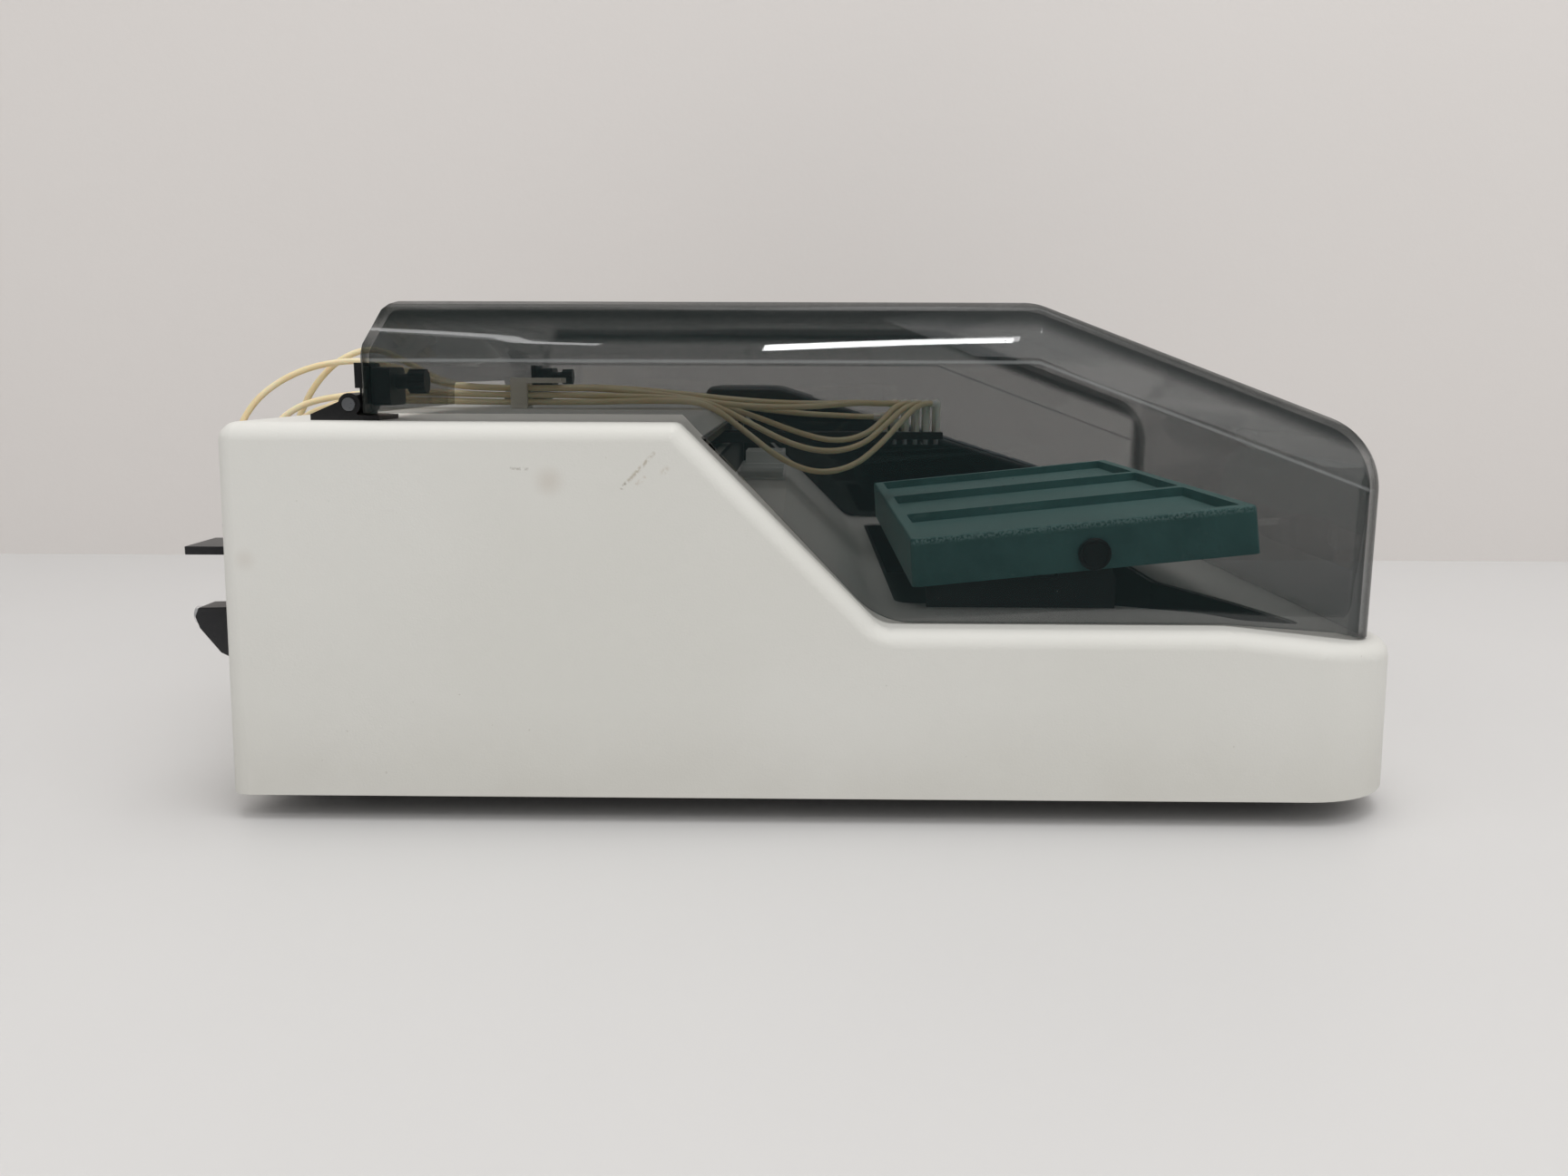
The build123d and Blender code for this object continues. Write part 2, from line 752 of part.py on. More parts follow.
with BuildPart() as rod_brackets:
    for low, high, shelf in (
        (*bracket_near_y, (bracket_near_y[1], -194)),
        (*bracket_far_y, (66, bracket_far_y[0])),
    ):
        box_between((bracket_x[0], low, pan_top_z), (bracket_x[1], high, rod_z + 10))
        box_between((bracket_x[0], shelf[0], shelf_top - 3), (bracket_x[1], shelf[1], shelf_top))
    for x in rod_x:
        cylinder_along_y(x, rod_z, rod_r, bracket_near_y[0], bracket_far_y[1], mode=Mode.SUBTRACT)
    with Locations((belt_x, pulley_y[0], shelf_top), (belt_x, pulley_y[1], shelf_top)):
        Cylinder(3, 20, mode=Mode.SUBTRACT)
    # Bearing post of the idler pulley
    with Locations((belt_x, pulley_y[0], shelf_top - 3)):
        Cylinder(7, 12, align=(Align.CENTER, Align.CENTER, Align.MAX))
        Cylinder(
            pulley_shaft_r + running_gap,
            12,
            align=(Align.CENTER, Align.CENTER, Align.MAX),
            mode=Mode.SUBTRACT,
        )
save(rod_brackets.part, "rod_brackets")

with BuildPart() as guide_rods:
    for x in rod_x:
        cylinder_along_y(x, rod_z, rod_r, bracket_near_y[0], bracket_far_y[1])
save(guide_rods.part, "guide_rods")

with BuildPart() as head_carriage:
    box_between(
        (carriage_x[0], head_y - carriage_half, carriage_z[0]),
        (carriage_x[1], head_y + carriage_half, carriage_z[1]),
    )
    fillet(head_carriage.edges().filter_by(Axis.Z), 3)
    for x in rod_x:
        cylinder_along_y(
            x, rod_z, rod_r + running_gap, head_y - 30, head_y + 30, mode=Mode.SUBTRACT
        )
    # Clamp that holds one strand of the belt
    box_between(
        (belt_x + clamp_reach[0], head_y - clamp_half, belt_z[0] - 2),
        (belt_x + clamp_reach[1], head_y + clamp_half, carriage_z[0]),
    )
    box_between(
        (belt_x + pulley_r + belt_lift - running_gap, head_y - 10, belt_z[0] - running_gap),
        (belt_x + pulley_r + belt_back + running_gap, head_y + 10, belt_z[1] + running_gap),
        mode=Mode.SUBTRACT,
    )
save(head_carriage.part, "head_carriage")

manifold_left = nozzle_first_x - 1.8
manifold_right = nozzle_first_x + (nozzle_count - 1) * nozzle_pitch + 3.3
with BuildPart() as head_arm:
    with BuildSketch(Plane.XY.offset(carriage_z[1])):
        with BuildLine():
            Polyline(
                (-106, head_y - 16),
                (-54, head_y - 16),
                (-30, head_y - 9),
                (manifold_left, head_y - 4.5),
                (manifold_left, head_y + 4.5),
                (-30, head_y + 9),
                (-54, head_y + 16),
                (-106, head_y + 16),
                close=True,
            )
        make_face()
        with Locations((-80, head_y)):
            RectangleRounded(30, 16, 4, mode=Mode.SUBTRACT)
    extrude(amount=arm_thickness)
    with BuildSketch(Plane.XY.offset(carriage_z[1] + arm_thickness)):
        with BuildLine():
            Polyline(
                (-48, head_y - 10), (manifold_left - 9, head_y - 2.5),
                (manifold_left - 9, head_y + 2.5), (-48, head_y + 10), close=True,
            )
        make_face()
    extrude(amount=-2.6, mode=Mode.SUBTRACT)
save(head_arm.part, "head_arm")

nozzle_x = [nozzle_first_x + index * nozzle_pitch for index in range(nozzle_count)]
elbow_z = 152.6
elbow_length = 5
barrel_radius = 2.2
jet_r = 1.2
jet_tip_z = 131
elbow_way = (-sin(radians(45)), -cos(radians(45)), 0)

with BuildPart() as manifold_bar:
    box_between(
        (manifold_left, head_y - 4.5, manifold_z[0]), (manifold_right, head_y + 4.5, manifold_z[1])
    )
    with Locations([(x, head_y, sum(manifold_z) / 2) for x in nozzle_x]):
        Cylinder(jet_r, 10, mode=Mode.SUBTRACT)
save(manifold_bar.part, "manifold_bar")

with BuildPart() as nozzle_barrels:
    for x in nozzle_x:
        with BuildSketch(Plane(origin=(x, head_y, manifold_z[1]), x_dir=(1, 0, 0), z_dir=(0, 0, 1))):
            Circle(barrel_radius)
        extrude(amount=elbow_z - manifold_z[1])
        with Locations((x, head_y, elbow_z)):
            Sphere(barrel_radius)
        with BuildSketch(Plane(origin=(x, head_y, elbow_z), z_dir=elbow_way)):
            Circle(barb_r)
        extrude(amount=elbow_length)
save(nozzle_barrels.part, "nozzle_barrels")

with BuildPart() as nozzle_tips:
    with Locations([(x, head_y, manifold_z[1]) for x in nozzle_x]):
        Cylinder(jet_r, manifold_z[1] - jet_tip_z, align=(Align.CENTER, Align.CENTER, Align.MAX))
save(nozzle_tips.part, "nozzle_tips")

suction_x, suction_z = 44, 145.4
suction_r = 2.6
with BuildPart() as suction_fitting:
    with Locations((suction_x, head_y, manifold_z[1])):
        Cylinder(
            suction_r, suction_z - manifold_z[1], align=(Align.CENTER, Align.CENTER, Align.MIN)
        )
    with Locations((suction_x, head_y, suction_z)):
        Sphere(suction_r)
    with BuildSketch(Plane(origin=(suction_x, head_y, suction_z), x_dir=(0, 1, 0), z_dir=(-1, 0, 0))):
        Circle(barb_r)
    extrude(amount=5)
save(suction_fitting.part, "suction_fitting")

# Drive of the head: toothed belt, two pulleys and a motor
with BuildPart() as drive_belt:
    with BuildSketch(Plane.XY.offset(belt_z[0])):
        with Locations((belt_x, sum(pulley_y) / 2)):
            SlotCenterToCenter(pulley_y[1] - pulley_y[0], 2 * (pulley_r + belt_back), rotation=90)
            SlotCenterToCenter(
                pulley_y[1] - pulley_y[0], 2 * (pulley_r + belt_lift), rotation=90,
                mode=Mode.SUBTRACT,
            )
    extrude(amount=belt_z[1] - belt_z[0])
save(drive_belt.part, "drive_belt")


def belt_pulley(y):
    """A flanged belt pulley with grooves, and the shaft below it."""
    with BuildPart() as wheel:
        with BuildSketch(Plane.XY.offset(belt_z[0] - 0.4)):
            with Locations((belt_x, y)):
                Circle(pulley_r)
                with PolarLocations(pulley_r, 20):
                    Circle(0.5, mode=Mode.SUBTRACT)
        extrude(amount=belt_z[1] - belt_z[0] + 0.8)
        for flange_z in (belt_z[0] - 1.4, belt_z[1] + 0.2):
            with BuildSketch(Plane.XY.offset(flange_z)):
                with Locations((belt_x, y)):
                    Circle(pulley_r - 0.6)
            extrude(amount=0.8)
        with BuildSketch(Plane.XY.offset(shaft_bottom_z)):
            with Locations((belt_x, y)):
                Circle(pulley_shaft_r)
        extrude(amount=belt_z[1] - shaft_bottom_z)
    return wheel.part


save(belt_pulley(pulley_y[0]), "idler_pulley")
save(belt_pulley(pulley_y[1]), "drive_pulley")

with BuildPart() as head_motor:
    with Locations((belt_x, pulley_y[1], shelf_top - 3)):
        Cylinder(17, 42, align=(Align.CENTER, Align.CENTER, Align.MAX))
    with Locations((belt_x, pulley_y[1], shelf_top - 3)):
        Cylinder(
            pulley_shaft_r + running_gap,
            12,
            align=(Align.CENTER, Align.CENTER, Align.MAX),
            mode=Mode.SUBTRACT,
        )
save(head_motor.part, "head_motor")

# Peristaltic pump in the rear compartment
pump_x, pump_z = -165, 60
pump_y = (-170, -130)
pump_bore = 27
pump_half = 34
pump_shaft_r = 4
with BuildPart() as pump_body:
    box_between(
        (pump_x - pump_half, pump_y[0], pan_top_z), (pump_x + pump_half, pump_y[1], pump_z + pump_half)
    )
    fillet(pump_body.edges().filter_by(Axis.Y).group_by(Axis.Z)[-1], 10)
    cylinder_along_y(
        pump_x, pump_z, pump_bore, pump_y[0] - 1, pump_y[1] - 5, mode=Mode.SUBTRACT
    )
    cylinder_along_y(
        pump_x, pump_z, pump_shaft_r + running_gap, pump_y[0], pump_y[1] + 1, mode=Mode.SUBTRACT
    )
save(pump_body.part, "pump_body")

roller_r = 5.5
roller_pitch_r = 17
rotor_y = (pump_y[0] + 2, pump_y[1] - 6)
with BuildPart() as pump_rotor:
    for low, high in ((rotor_y[0], rotor_y[0] + 3), (rotor_y[1] - 3, rotor_y[1])):
        cylinder_along_y(pump_x, pump_z, 21, low, high)
    cylinder_along_y(pump_x, pump_z, 8, rotor_y[0], rotor_y[1])
    cylinder_along_y(pump_x, pump_z, pump_shaft_r, rotor_y[1], pump_y[1] + 8)
save(pump_rotor.part, "pump_rotor")

with BuildPart() as pump_rollers:
    for index in range(4):
        angle = radians(45 + 90 * index)
        cylinder_along_y(
            pump_x + roller_pitch_r * cos(angle),
            pump_z + roller_pitch_r * sin(angle),
            roller_r,
            rotor_y[0] + 3.2,
            rotor_y[1] - 3.2,
        )
save(pump_rollers.part, "pump_rollers")

with BuildPart() as pump_motor:
    cylinder_along_y(pump_x, pump_z, 24, pump_y[1], pump_y[1] + 60)
    cylinder_along_y(
        pump_x, pump_z, pump_shaft_r + running_gap, pump_y[1] - 1, pump_y[1] + 9,
        mode=Mode.SUBTRACT,
    )
    box_between((pump_x - 12, pump_y[1] + 10, pan_top_z), (pump_x + 12, pump_y[1] + 50, pump_z - 18))
save(pump_motor.part, "pump_motor")

# Power supply and control board on the base pan
supply_x = (-200, -130)
supply_y = (-20, 100)
supply_top_z = pan_top_z + 45
with BuildPart() as power_supply:
    box_between((supply_x[0], supply_y[0], pan_top_z), (supply_x[1], supply_y[1], supply_top_z))
    with BuildSketch(Plane.XY.offset(supply_top_z)):
        with Locations((sum(supply_x) / 2, sum(supply_y) / 2)):
            with GridLocations(0, 12, 1, 8):
                SlotOverall(44, 5)
    extrude(amount=-3, mode=Mode.SUBTRACT)
save(power_supply.part, "power_supply")

board_x = (-30, 120)
board_y = (130, 226)
board_edge = 6
standoff = 6
board_top_z = pan_top_z + standoff + 1.6
board_parts = ((0, 160, 30, 30, 5), (50, 190, 40, 16, 8), (90, 150, 24, 24, 12), (40, 150, 20, 12, 4))

with BuildPart() as control_board:
    box_between((board_x[0], board_y[0], pan_top_z + standoff), (board_x[1], board_y[1], board_top_z))
    with Locations((sum(board_x) / 2, sum(board_y) / 2, pan_top_z)):
        with GridLocations(
            board_x[1] - board_x[0] - 2 * board_edge, board_y[1] - board_y[0] - 2 * board_edge, 2, 2
        ):
            Cylinder(3, standoff, align=(Align.CENTER, Align.CENTER, Align.MIN))
    for x, y, length, width, height in board_parts:
        box_between(
            (x - length / 2, y - width / 2, board_top_z),
            (x + length / 2, y + width / 2, board_top_z + height),
        )
save(control_board.part, "control_board")


# Console: a dark sloped cover on the far side of the deck
def console_side(inset):
    """Side view of the console, reaching down into the housing's form."""
    fall = tan(radians(console_fall))
    left, right = console_x[0] + inset, console_x[1] - inset
    top = console_top_z - inset
    break_x = console_break_x - inset * tan(radians(console_fall / 2))
    with BuildSketch() as side:
        with BuildLine():
            Polyline(
                (left, 40), (left, top), (break_x, top),
                (right, top - (right - break_x) * fall), (right, 40), close=True,
            )
        make_face()
        fillet(side.vertices().sort_by_distance((left, top))[0], 6 - inset)
        fillet(side.vertices().sort_by_distance((break_x, top))[0], 30)
        fillet(side.vertices().sort_by_distance((right, top - (right - break_x) * fall))[0], 9 - inset)
    return side.sketch


console_wall = 3
panel_plane = Plane(
    origin=(
        console_break_x, sum(console_y) / 2, console_top_z
    ),
    x_dir=(cos(radians(console_fall)), 0, -sin(radians(console_fall))),
    z_dir=(sin(radians(console_fall)), 0, cos(radians(console_fall))),
)
window_size = (44, 66)
window_at = 46
keypad_size = (108, 70)
keypad_at = 140

with BuildPart() as console_cover:
    with BuildSketch(xz_plane(console_y[0])):
        add(console_side(0))
    extrude(amount=-(console_y[1] - console_y[0]))
    top_sides = [
        e for e in console_cover.edges()
        if e.center().Z > 70 and abs(e.center().Y - sum(console_y) / 2) > 40
        and abs(e.tangent_at(0.5).Y) < 0.1 and abs(e.tangent_at(0.5).Z) < 0.95
    ]
    fillet(top_sides, 4)
    with BuildSketch(xz_plane(console_y[0] + console_wall)):
        add(console_side(console_wall))
    extrude(amount=-(console_y[1] - console_y[0] - 2 * console_wall), mode=Mode.SUBTRACT)
    add(outer_form.part, mode=Mode.SUBTRACT)
    with BuildSketch(panel_plane):
        with Locations((window_at, 0)):
            RectangleRounded(window_size[0] + 0.4, window_size[1] + 0.4, 2.1)
    extrude(amount=-1.2, mode=Mode.SUBTRACT)
save(console_cover.part, "console_cover")

with BuildPart() as display_window:
    with BuildSketch(panel_plane.offset(-1.2)):
        with Locations((window_at, 0)):
            RectangleRounded(*window_size, 2)
    extrude(amount=1.2)
save(display_window.part, "display_window")

with BuildPart() as keypad:
    with BuildSketch(panel_plane):
        with Locations((keypad_at, 0)):
            RectangleRounded(*keypad_size, 4)
    extrude(amount=0.8)
    with BuildSketch(panel_plane.offset(0.8)):
        with Locations((keypad_at, 0)):
            with GridLocations(20, 16, 5, 4):
                RectangleRounded(15, 11, 2)
    extrude(amount=0.5, taper=30)
save(keypad.part, "keypad")

# Rear wall: mains inlet with fuse drawer and switch, tube ports, brackets
inlet_face = rear_x - 2


def on_rear_wall(low, high):
    """A block whose hidden face follows the draft of the rear wall."""
    with BuildPart() as block:
        box_between(low, high)
        add(outer_block, mode=Mode.SUBTRACT)
    return block.part


switch_pivot = (rear_x + 6, inlet_y + 17.5, inlet_z)
switch_pin_r = 1.5

with BuildPart() as mains_inlet:
    add(on_rear_wall((inlet_face, inlet_y - 32, inlet_z - 17), (rear_x + 4, inlet_y + 32, inlet_z + 17)))
    box_between(
        (rear_x - 0.5, inlet_y - 27.8, inlet_z - 13.8), (rear_x + 26, inlet_y + 27.8, inlet_z + 13.8)
    )
    # Socket recess, fuse slot and switch well
    with BuildSketch(Plane(origin=(inlet_face, 0, 0), x_dir=(0, -1, 0), z_dir=(-1, 0, 0))) as socket:
        with Locations((-(inlet_y - 14), inlet_z)):
            Rectangle(25, 20)
        chamfer(socket.vertices().group_by(Axis.Y)[-1], 4)
    extrude(amount=-18, mode=Mode.SUBTRACT)
    box_between(
        (inlet_face - 1, inlet_y + 1.5, inlet_z - 11), (rear_x + 16, inlet_y + 7.5, inlet_z + 11),
        mode=Mode.SUBTRACT,
    )
    box_between(
        (inlet_face - 1, inlet_y + 10, inlet_z - 11), (rear_x + 12, inlet_y + 25, inlet_z + 11),
        mode=Mode.SUBTRACT,
    )
    for pin_y, pin_z in ((-7, -3), (0, 3), (7, -3)):
        box_between(
            (rear_x - 0.5, inlet_y - 14 + pin_y - 1, inlet_z + pin_z - 2),
            (rear_x + 17, inlet_y - 14 + pin_y + 1, inlet_z + pin_z + 2),
        )
    cylinder_along_y(
        switch_pivot[0], inlet_z, switch_pin_r + running_gap, inlet_y + 8.4, inlet_y + 26.6,
        mode=Mode.SUBTRACT,
    )
save(mains_inlet.part, "mains_inlet")

with BuildPart() as fuse_drawer:
    box_between(
        (inlet_face - 0.6, inlet_y + 1.6, inlet_z - 10.9), (rear_x + 15, inlet_y + 7.4, inlet_z + 10.9)
    )
save(fuse_drawer.part, "fuse_drawer")

with BuildPart() as power_switch:
    with BuildSketch(xz_plane(inlet_y + 10.5)):
        with BuildLine():
            Polyline(
                (switch_pivot[0] + 3, inlet_z - 5),
                (inlet_face + 1.6, inlet_z - 9.6),
                (inlet_face + 0.6, inlet_z),
                (inlet_face - 2.4, inlet_z + 9.2),
                (switch_pivot[0] + 3, inlet_z + 5),
                close=True,
            )
        make_face()
    extrude(amount=-14)
    cylinder_along_y(switch_pivot[0], inlet_z, switch_pin_r, inlet_y + 8.6, inlet_y + 26.4)
save(power_switch.part, "power_switch")


port_plate_x = -219
with BuildPart() as tube_ports:
    add(on_rear_wall((port_plate_x, -120, port_z - 12), (-210, -50, port_z + 12)))
    with BuildSketch(Plane(origin=(port_plate_x, 0, 0), x_dir=(0, -1, 0), z_dir=(-1, 0, 0))):
        with Locations([(-(port_first_y + i * port_pitch), port_z) for i in range(6)]):
            Circle(port_collar_r)
    extrude(amount=6)
    with BuildSketch(Plane(origin=(port_plate_x - 6, 0, 0), x_dir=(0, -1, 0), z_dir=(-1, 0, 0))):
        with Locations([(-(port_first_y + i * port_pitch), port_z) for i in range(6)]):
            Circle(barb_r)
    extrude(amount=5)
save(tube_ports.part, "tube_ports")

rear_group_y = (-226, -212)
inside_wall_x = -210
ledge_z = (100, 103.2)
ledge_tip_x = -233
ledge_far_y = -200
with BuildPart() as rear_shelf:
    add(on_rear_wall((ledge_tip_x, rear_group_y[0], ledge_z[0]), (inside_wall_x, ledge_far_y, ledge_z[1])))
    add(on_rear_wall((-218, rear_group_y[0], ledge_z[1]), (inside_wall_x, ledge_far_y, 112)))
save(rear_shelf.part, "rear_shelf")

with BuildPart() as rear_bracket:
    with BuildSketch(xz_plane(rear_group_y[0])):
        with BuildLine():
            Polyline(
                (inside_wall_x, 80), (-229.5, 79.6), (-231, 76), (-229.5, 71.5), (-222, 62),
                (inside_wall_x, 56),
                close=True,
            )
        make_face()
    extrude(amount=rear_group_y[0] - rear_group_y[1])
    add(outer_block, mode=Mode.SUBTRACT)
save(rear_bracket.part, "rear_bracket")

stud_z, stud_r = 75.6, 3.4
with BuildPart() as rear_stud:
    with BuildSketch(Plane(origin=(-230, 0, 0), x_dir=(0, -1, 0), z_dir=(-1, 0, 0))):
        with Locations((-sum(rear_group_y) / 2, stud_z)):
            Circle(stud_r)
    extrude(amount=3)
    add(rear_bracket.part, mode=Mode.SUBTRACT)
save(rear_stud.part, "rear_stud")

with BuildPart() as rear_grommet:
    with Locations((-213, -205, 88)):
        Cylinder(9, 16, rotation=(0, 90, 0))
    fillet(rear_grommet.faces().sort_by(Axis.X)[0].edges(), 3)
    add(outer_block, mode=Mode.SUBTRACT)
save(rear_grommet.part, "rear_grommet")

# Translucent clip that holds the tubes on the top deck
with BuildPart() as tube_clip:
    box_between((clip_x[0], clip_y[0], deck_z), (clip_x[1], clip_y[1], clip_top_z))
    box_between((clip_x[1], clip_y[0], clip_top_z - 2.5), (-118, clip_y[1], clip_top_z))
    box_between(
        (clip_x[0] - 1, stack_y[0] - 2, deck_z + 1.2), (clip_x[1] + 1, stack_y[1] + 2, 162.6),
        mode=Mode.SUBTRACT,
    )
save(tube_clip.part, "tube_clip")


# Tubes: soft silicone lines from the rear ports, through the clip, to the head
def corner_radii(points):
    """The largest arc at each corner of a route: 0.45 of its shorter run."""
    route = [Vector(*p) for p in points]
    radii = []
    for before, here, after in zip(route, route[1:], route[2:]):
        turn = radians((here - before).get_angle(after - here))
        radii.append(0.45 * min((here - before).length, (after - here).length) / tan(turn / 2))
    return radii


def tube(points):
    """A tube along straight runs joined by tangent arcs, with its length printed."""
    start, following = Vector(*points[0]), Vector(*points[1])
    radii = corner_radii(points)
    with BuildPart() as hose:
        with BuildLine() as route:
            FilletPolyline(*points, radius=radii)
        with BuildSketch(Plane(origin=start, z_dir=following - start)):
            Circle(tube_r)
        sweep(path=route.wire())
    length = route.wire().length
    share = hose.part.volume / (pi * tube_r**2 * length)
    print(f"tube of {length:.1f} mm, volume {share:.3f} of section times length, radii")
    print(" ".join(f"{radius:.0f}" for radius in radii))
    return hose.part


def nozzle_mouth(index):
    """The elbow's end and the point before it, on the elbow's own line."""
    x = nozzle_x[index]
    near, far = elbow_length * sin(radians(45)), (elbow_length + 10) * sin(radians(45))
    return [(x - far, head_y - far, elbow_z), (x - near, head_y - near, elbow_z)]


def port_mouth(index):
    """A rear port's end and the point before it, on the port's own line."""
    y = port_first_y + index * port_pitch
    return [(port_tip_x, y, port_z), (port_tip_x - 9.5, y, port_z)]


def through_clip(y, z):
    """The straight run that the clip holds."""
    return [(-156, y, z), (-124, y, z)]


low_y, high_y = stack_y
bottom, middle_row, top_row = stack_z

routes = {
    1: port_mouth(3)
    + [(-248, -80, 113), (-251, -80, 123), (-249, -80, 135), (-243, -79.5, 148),
       (-236, -78, 162), (-224, -74, 175), (-208, -69, 180.5), (-192, -64, 171.5),
       (-176, -60, 162.4)]
    + through_clip(high_y, top_row)
    + [(-104, -57.4, 161), (-84, -55, 160), (-62, -53, 158), (-38, -50, 155.3),
       (-12, -46, 153.2), (12, -41, 152.8), (29, -36, 153.4)]
    + nozzle_mouth(0),
    2: port_mouth(0)
    + [(-250, -110, 111), (-259, -109, 119), (-264.5, -106, 131), (-263, -101, 145),
       (-255, -95, 158), (-241, -88, 168), (-225, -81, 173), (-208, -74.5, 173.5),
       (-192, -69, 168.5), (-176, -64, 162)]
    + through_clip(low_y, top_row)
    + [(-104, -61.6, 160.6), (-84, -60.6, 159.2), (-62, -59.6, 156.6), (-37, -57.6, 152.6),
       (-11, -54, 151), (12, -48, 151.8), (30, -40, 153.4)]
    + nozzle_mouth(1),
    3: port_mouth(4)
    + [(-248, -70.2, 113), (-252, -70.4, 122.6), (-250.5, -70.4, 134), (-243, -70, 145),
       (-231, -69, 153), (-213, -67, 156.8), (-194, -63, 158), (-175, -59.5, 157.6)]
    + through_clip(high_y, middle_row)
    + [(-104, -56, 156.6), (-84, -51.5, 156.2), (-63, -47, 155), (-42, -41, 153.2),
       (-20, -34, 149.6), (3, -26, 147), (24, -20.4, 145.9), (35, head_y, suction_z),
       (suction_x - 5, head_y, suction_z)],
    4: port_mouth(1)
    + [(-248, -100, 112.6), (-253, -99.8, 122), (-252.5, -99.4, 134), (-246, -98.5, 146),
       (-234, -95, 154), (-215, -88, 157.6), (-195, -77.5, 159), (-175, -66, 158.4)]
    + through_clip(low_y, middle_row)
    + [(-104, -63.4, 157), (-84, -65, 156.6), (-64, -65.4, 156), (-45, -64.5, 154),
       (-24, -62, 143), (-4, -58, 132.5), (15, -53, 128.4), (32, -48.5, 132), (44, -42, 142)]
    + nozzle_mouth(3),
    5: port_mouth(5)
    + [(-247.6, -60.2, 113), (-251, -60.2, 122.4), (-248.5, -60.2, 133.6), (-241.6, -60, 143),
       (-230.6, -59.6, 150.8), (-214, -59, 154.4), (-195, -58, 154.6), (-175, -57.8, 154.2)]
    + through_clip(high_y, bottom)
    + [(-104, -58.4, 153.8), (-84, -57, 154), (-64, -55.2, 154.2), (-44, -53.6, 153.2),
       (-22, -52, 146.4), (-2, -49.6, 138.6), (17, -47, 133.6), (33, -43.5, 136.4),
       (43.6, -37.6, 145)]
    + nozzle_mouth(2),
    6: port_mouth(2)
    + [(-247.8, -90.2, 113), (-251.5, -90.2, 122.6), (-249.5, -90, 133.6),
       (-242.6, -89.6, 143), (-231.6, -87.6, 150.8), (-214, -82, 154.2), (-195, -74, 154.4),
       (-175, -66, 154)]
    + through_clip(low_y, bottom)
    + [(-104, -64.5, 153.8), (-84, -69, 154.4), (-64, -73, 155), (-45, -74, 153.8),
       (-27, -72, 140), (-9, -68, 125.5), (9, -62, 118.4), (27, -56, 121.5),
       (41, -50, 132.5), (52, -42, 144)]
    + nozzle_mouth(4),
}

for number, points in routes.items():
    save(tube(points), f"tube_{number}")
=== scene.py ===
import json
import math

import bpy
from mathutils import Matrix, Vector

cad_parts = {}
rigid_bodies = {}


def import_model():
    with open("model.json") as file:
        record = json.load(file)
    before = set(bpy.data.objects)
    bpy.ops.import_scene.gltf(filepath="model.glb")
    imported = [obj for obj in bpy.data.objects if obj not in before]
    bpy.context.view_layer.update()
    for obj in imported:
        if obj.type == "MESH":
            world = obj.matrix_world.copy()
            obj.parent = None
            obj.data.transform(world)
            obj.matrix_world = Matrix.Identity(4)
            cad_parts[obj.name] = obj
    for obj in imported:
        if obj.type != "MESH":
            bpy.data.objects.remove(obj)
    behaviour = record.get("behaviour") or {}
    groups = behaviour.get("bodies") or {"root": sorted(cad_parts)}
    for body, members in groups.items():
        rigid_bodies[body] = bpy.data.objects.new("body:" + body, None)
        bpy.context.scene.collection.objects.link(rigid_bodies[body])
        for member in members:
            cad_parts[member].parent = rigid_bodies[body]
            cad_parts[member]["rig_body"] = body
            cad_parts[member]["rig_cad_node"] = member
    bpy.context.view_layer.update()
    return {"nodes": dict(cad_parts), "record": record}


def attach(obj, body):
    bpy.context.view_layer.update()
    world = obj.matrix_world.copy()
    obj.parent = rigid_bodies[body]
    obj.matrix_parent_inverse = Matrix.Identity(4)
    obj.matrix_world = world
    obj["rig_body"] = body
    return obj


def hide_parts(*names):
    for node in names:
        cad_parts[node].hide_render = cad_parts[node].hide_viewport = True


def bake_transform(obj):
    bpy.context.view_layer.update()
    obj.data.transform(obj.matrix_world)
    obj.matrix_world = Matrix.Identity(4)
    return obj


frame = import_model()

nodes = frame["nodes"]
body_of_node = {
    node: body for body, members in frame["record"]["behaviour"]["bodies"].items() for node in members
}
slot_of_node = {row["node"]: row["material_slot"] for row in frame["record"]["subparts"]}


# Camera level with the lid, in front of the side that is open to view
camera_place = (0, -0.7, 0.17)
camera_turn = (math.radians(80.242), math.radians(-0.197), math.radians(0.726))
bpy.ops.object.camera_add(location=camera_place, rotation=camera_turn)
camera = bpy.context.object
camera.data.sensor_width = 36
camera.data.lens = 29.17
camera.data.clip_start = 0.01
bpy.context.scene.camera = camera
bpy.context.scene.view_settings.view_transform = "Standard"


# Shader sums and nodes
class Wire:
    """An output of a shader node, with the sums that masks are made of."""

    def __init__(self, maker, socket):
        self.maker, self.socket = maker, socket

    def sum_node(self, operation, *values):
        node = self.maker.node("ShaderNodeMath", {"operation": operation}, dict(enumerate(values)))
        return self.maker.out(node, "Value")

    def __add__(self, other):
        return self.sum_node("ADD", self, other)

    __radd__ = __add__

    def __mul__(self, other):
        return self.sum_node("MULTIPLY", self, other)

    __rmul__ = __mul__

    def __sub__(self, other):
        return self.sum_node("SUBTRACT", self, other)

    def __rsub__(self, other):
        return self.sum_node("SUBTRACT", other, self)

    def at_least(self, other):
        return self.sum_node("MAXIMUM", self, other)

    def size(self):
        return self.sum_node("ABSOLUTE", self)

    def ramp(self, low, high):
        """0 below low, 1 above high, smooth between them."""
        node = self.maker.node(
            "ShaderNodeMapRange", {"interpolation_type": "SMOOTHSTEP"},
            {"Value": self, "From Min": low, "From Max": high},
        )
        return self.maker.out(node, "Result")

    def between(self, start, full, fading, end):
        """1 in the middle stretch, 0 before the start and past the end."""
        return self.ramp(start, full) * (1 - self.ramp(fading, end))


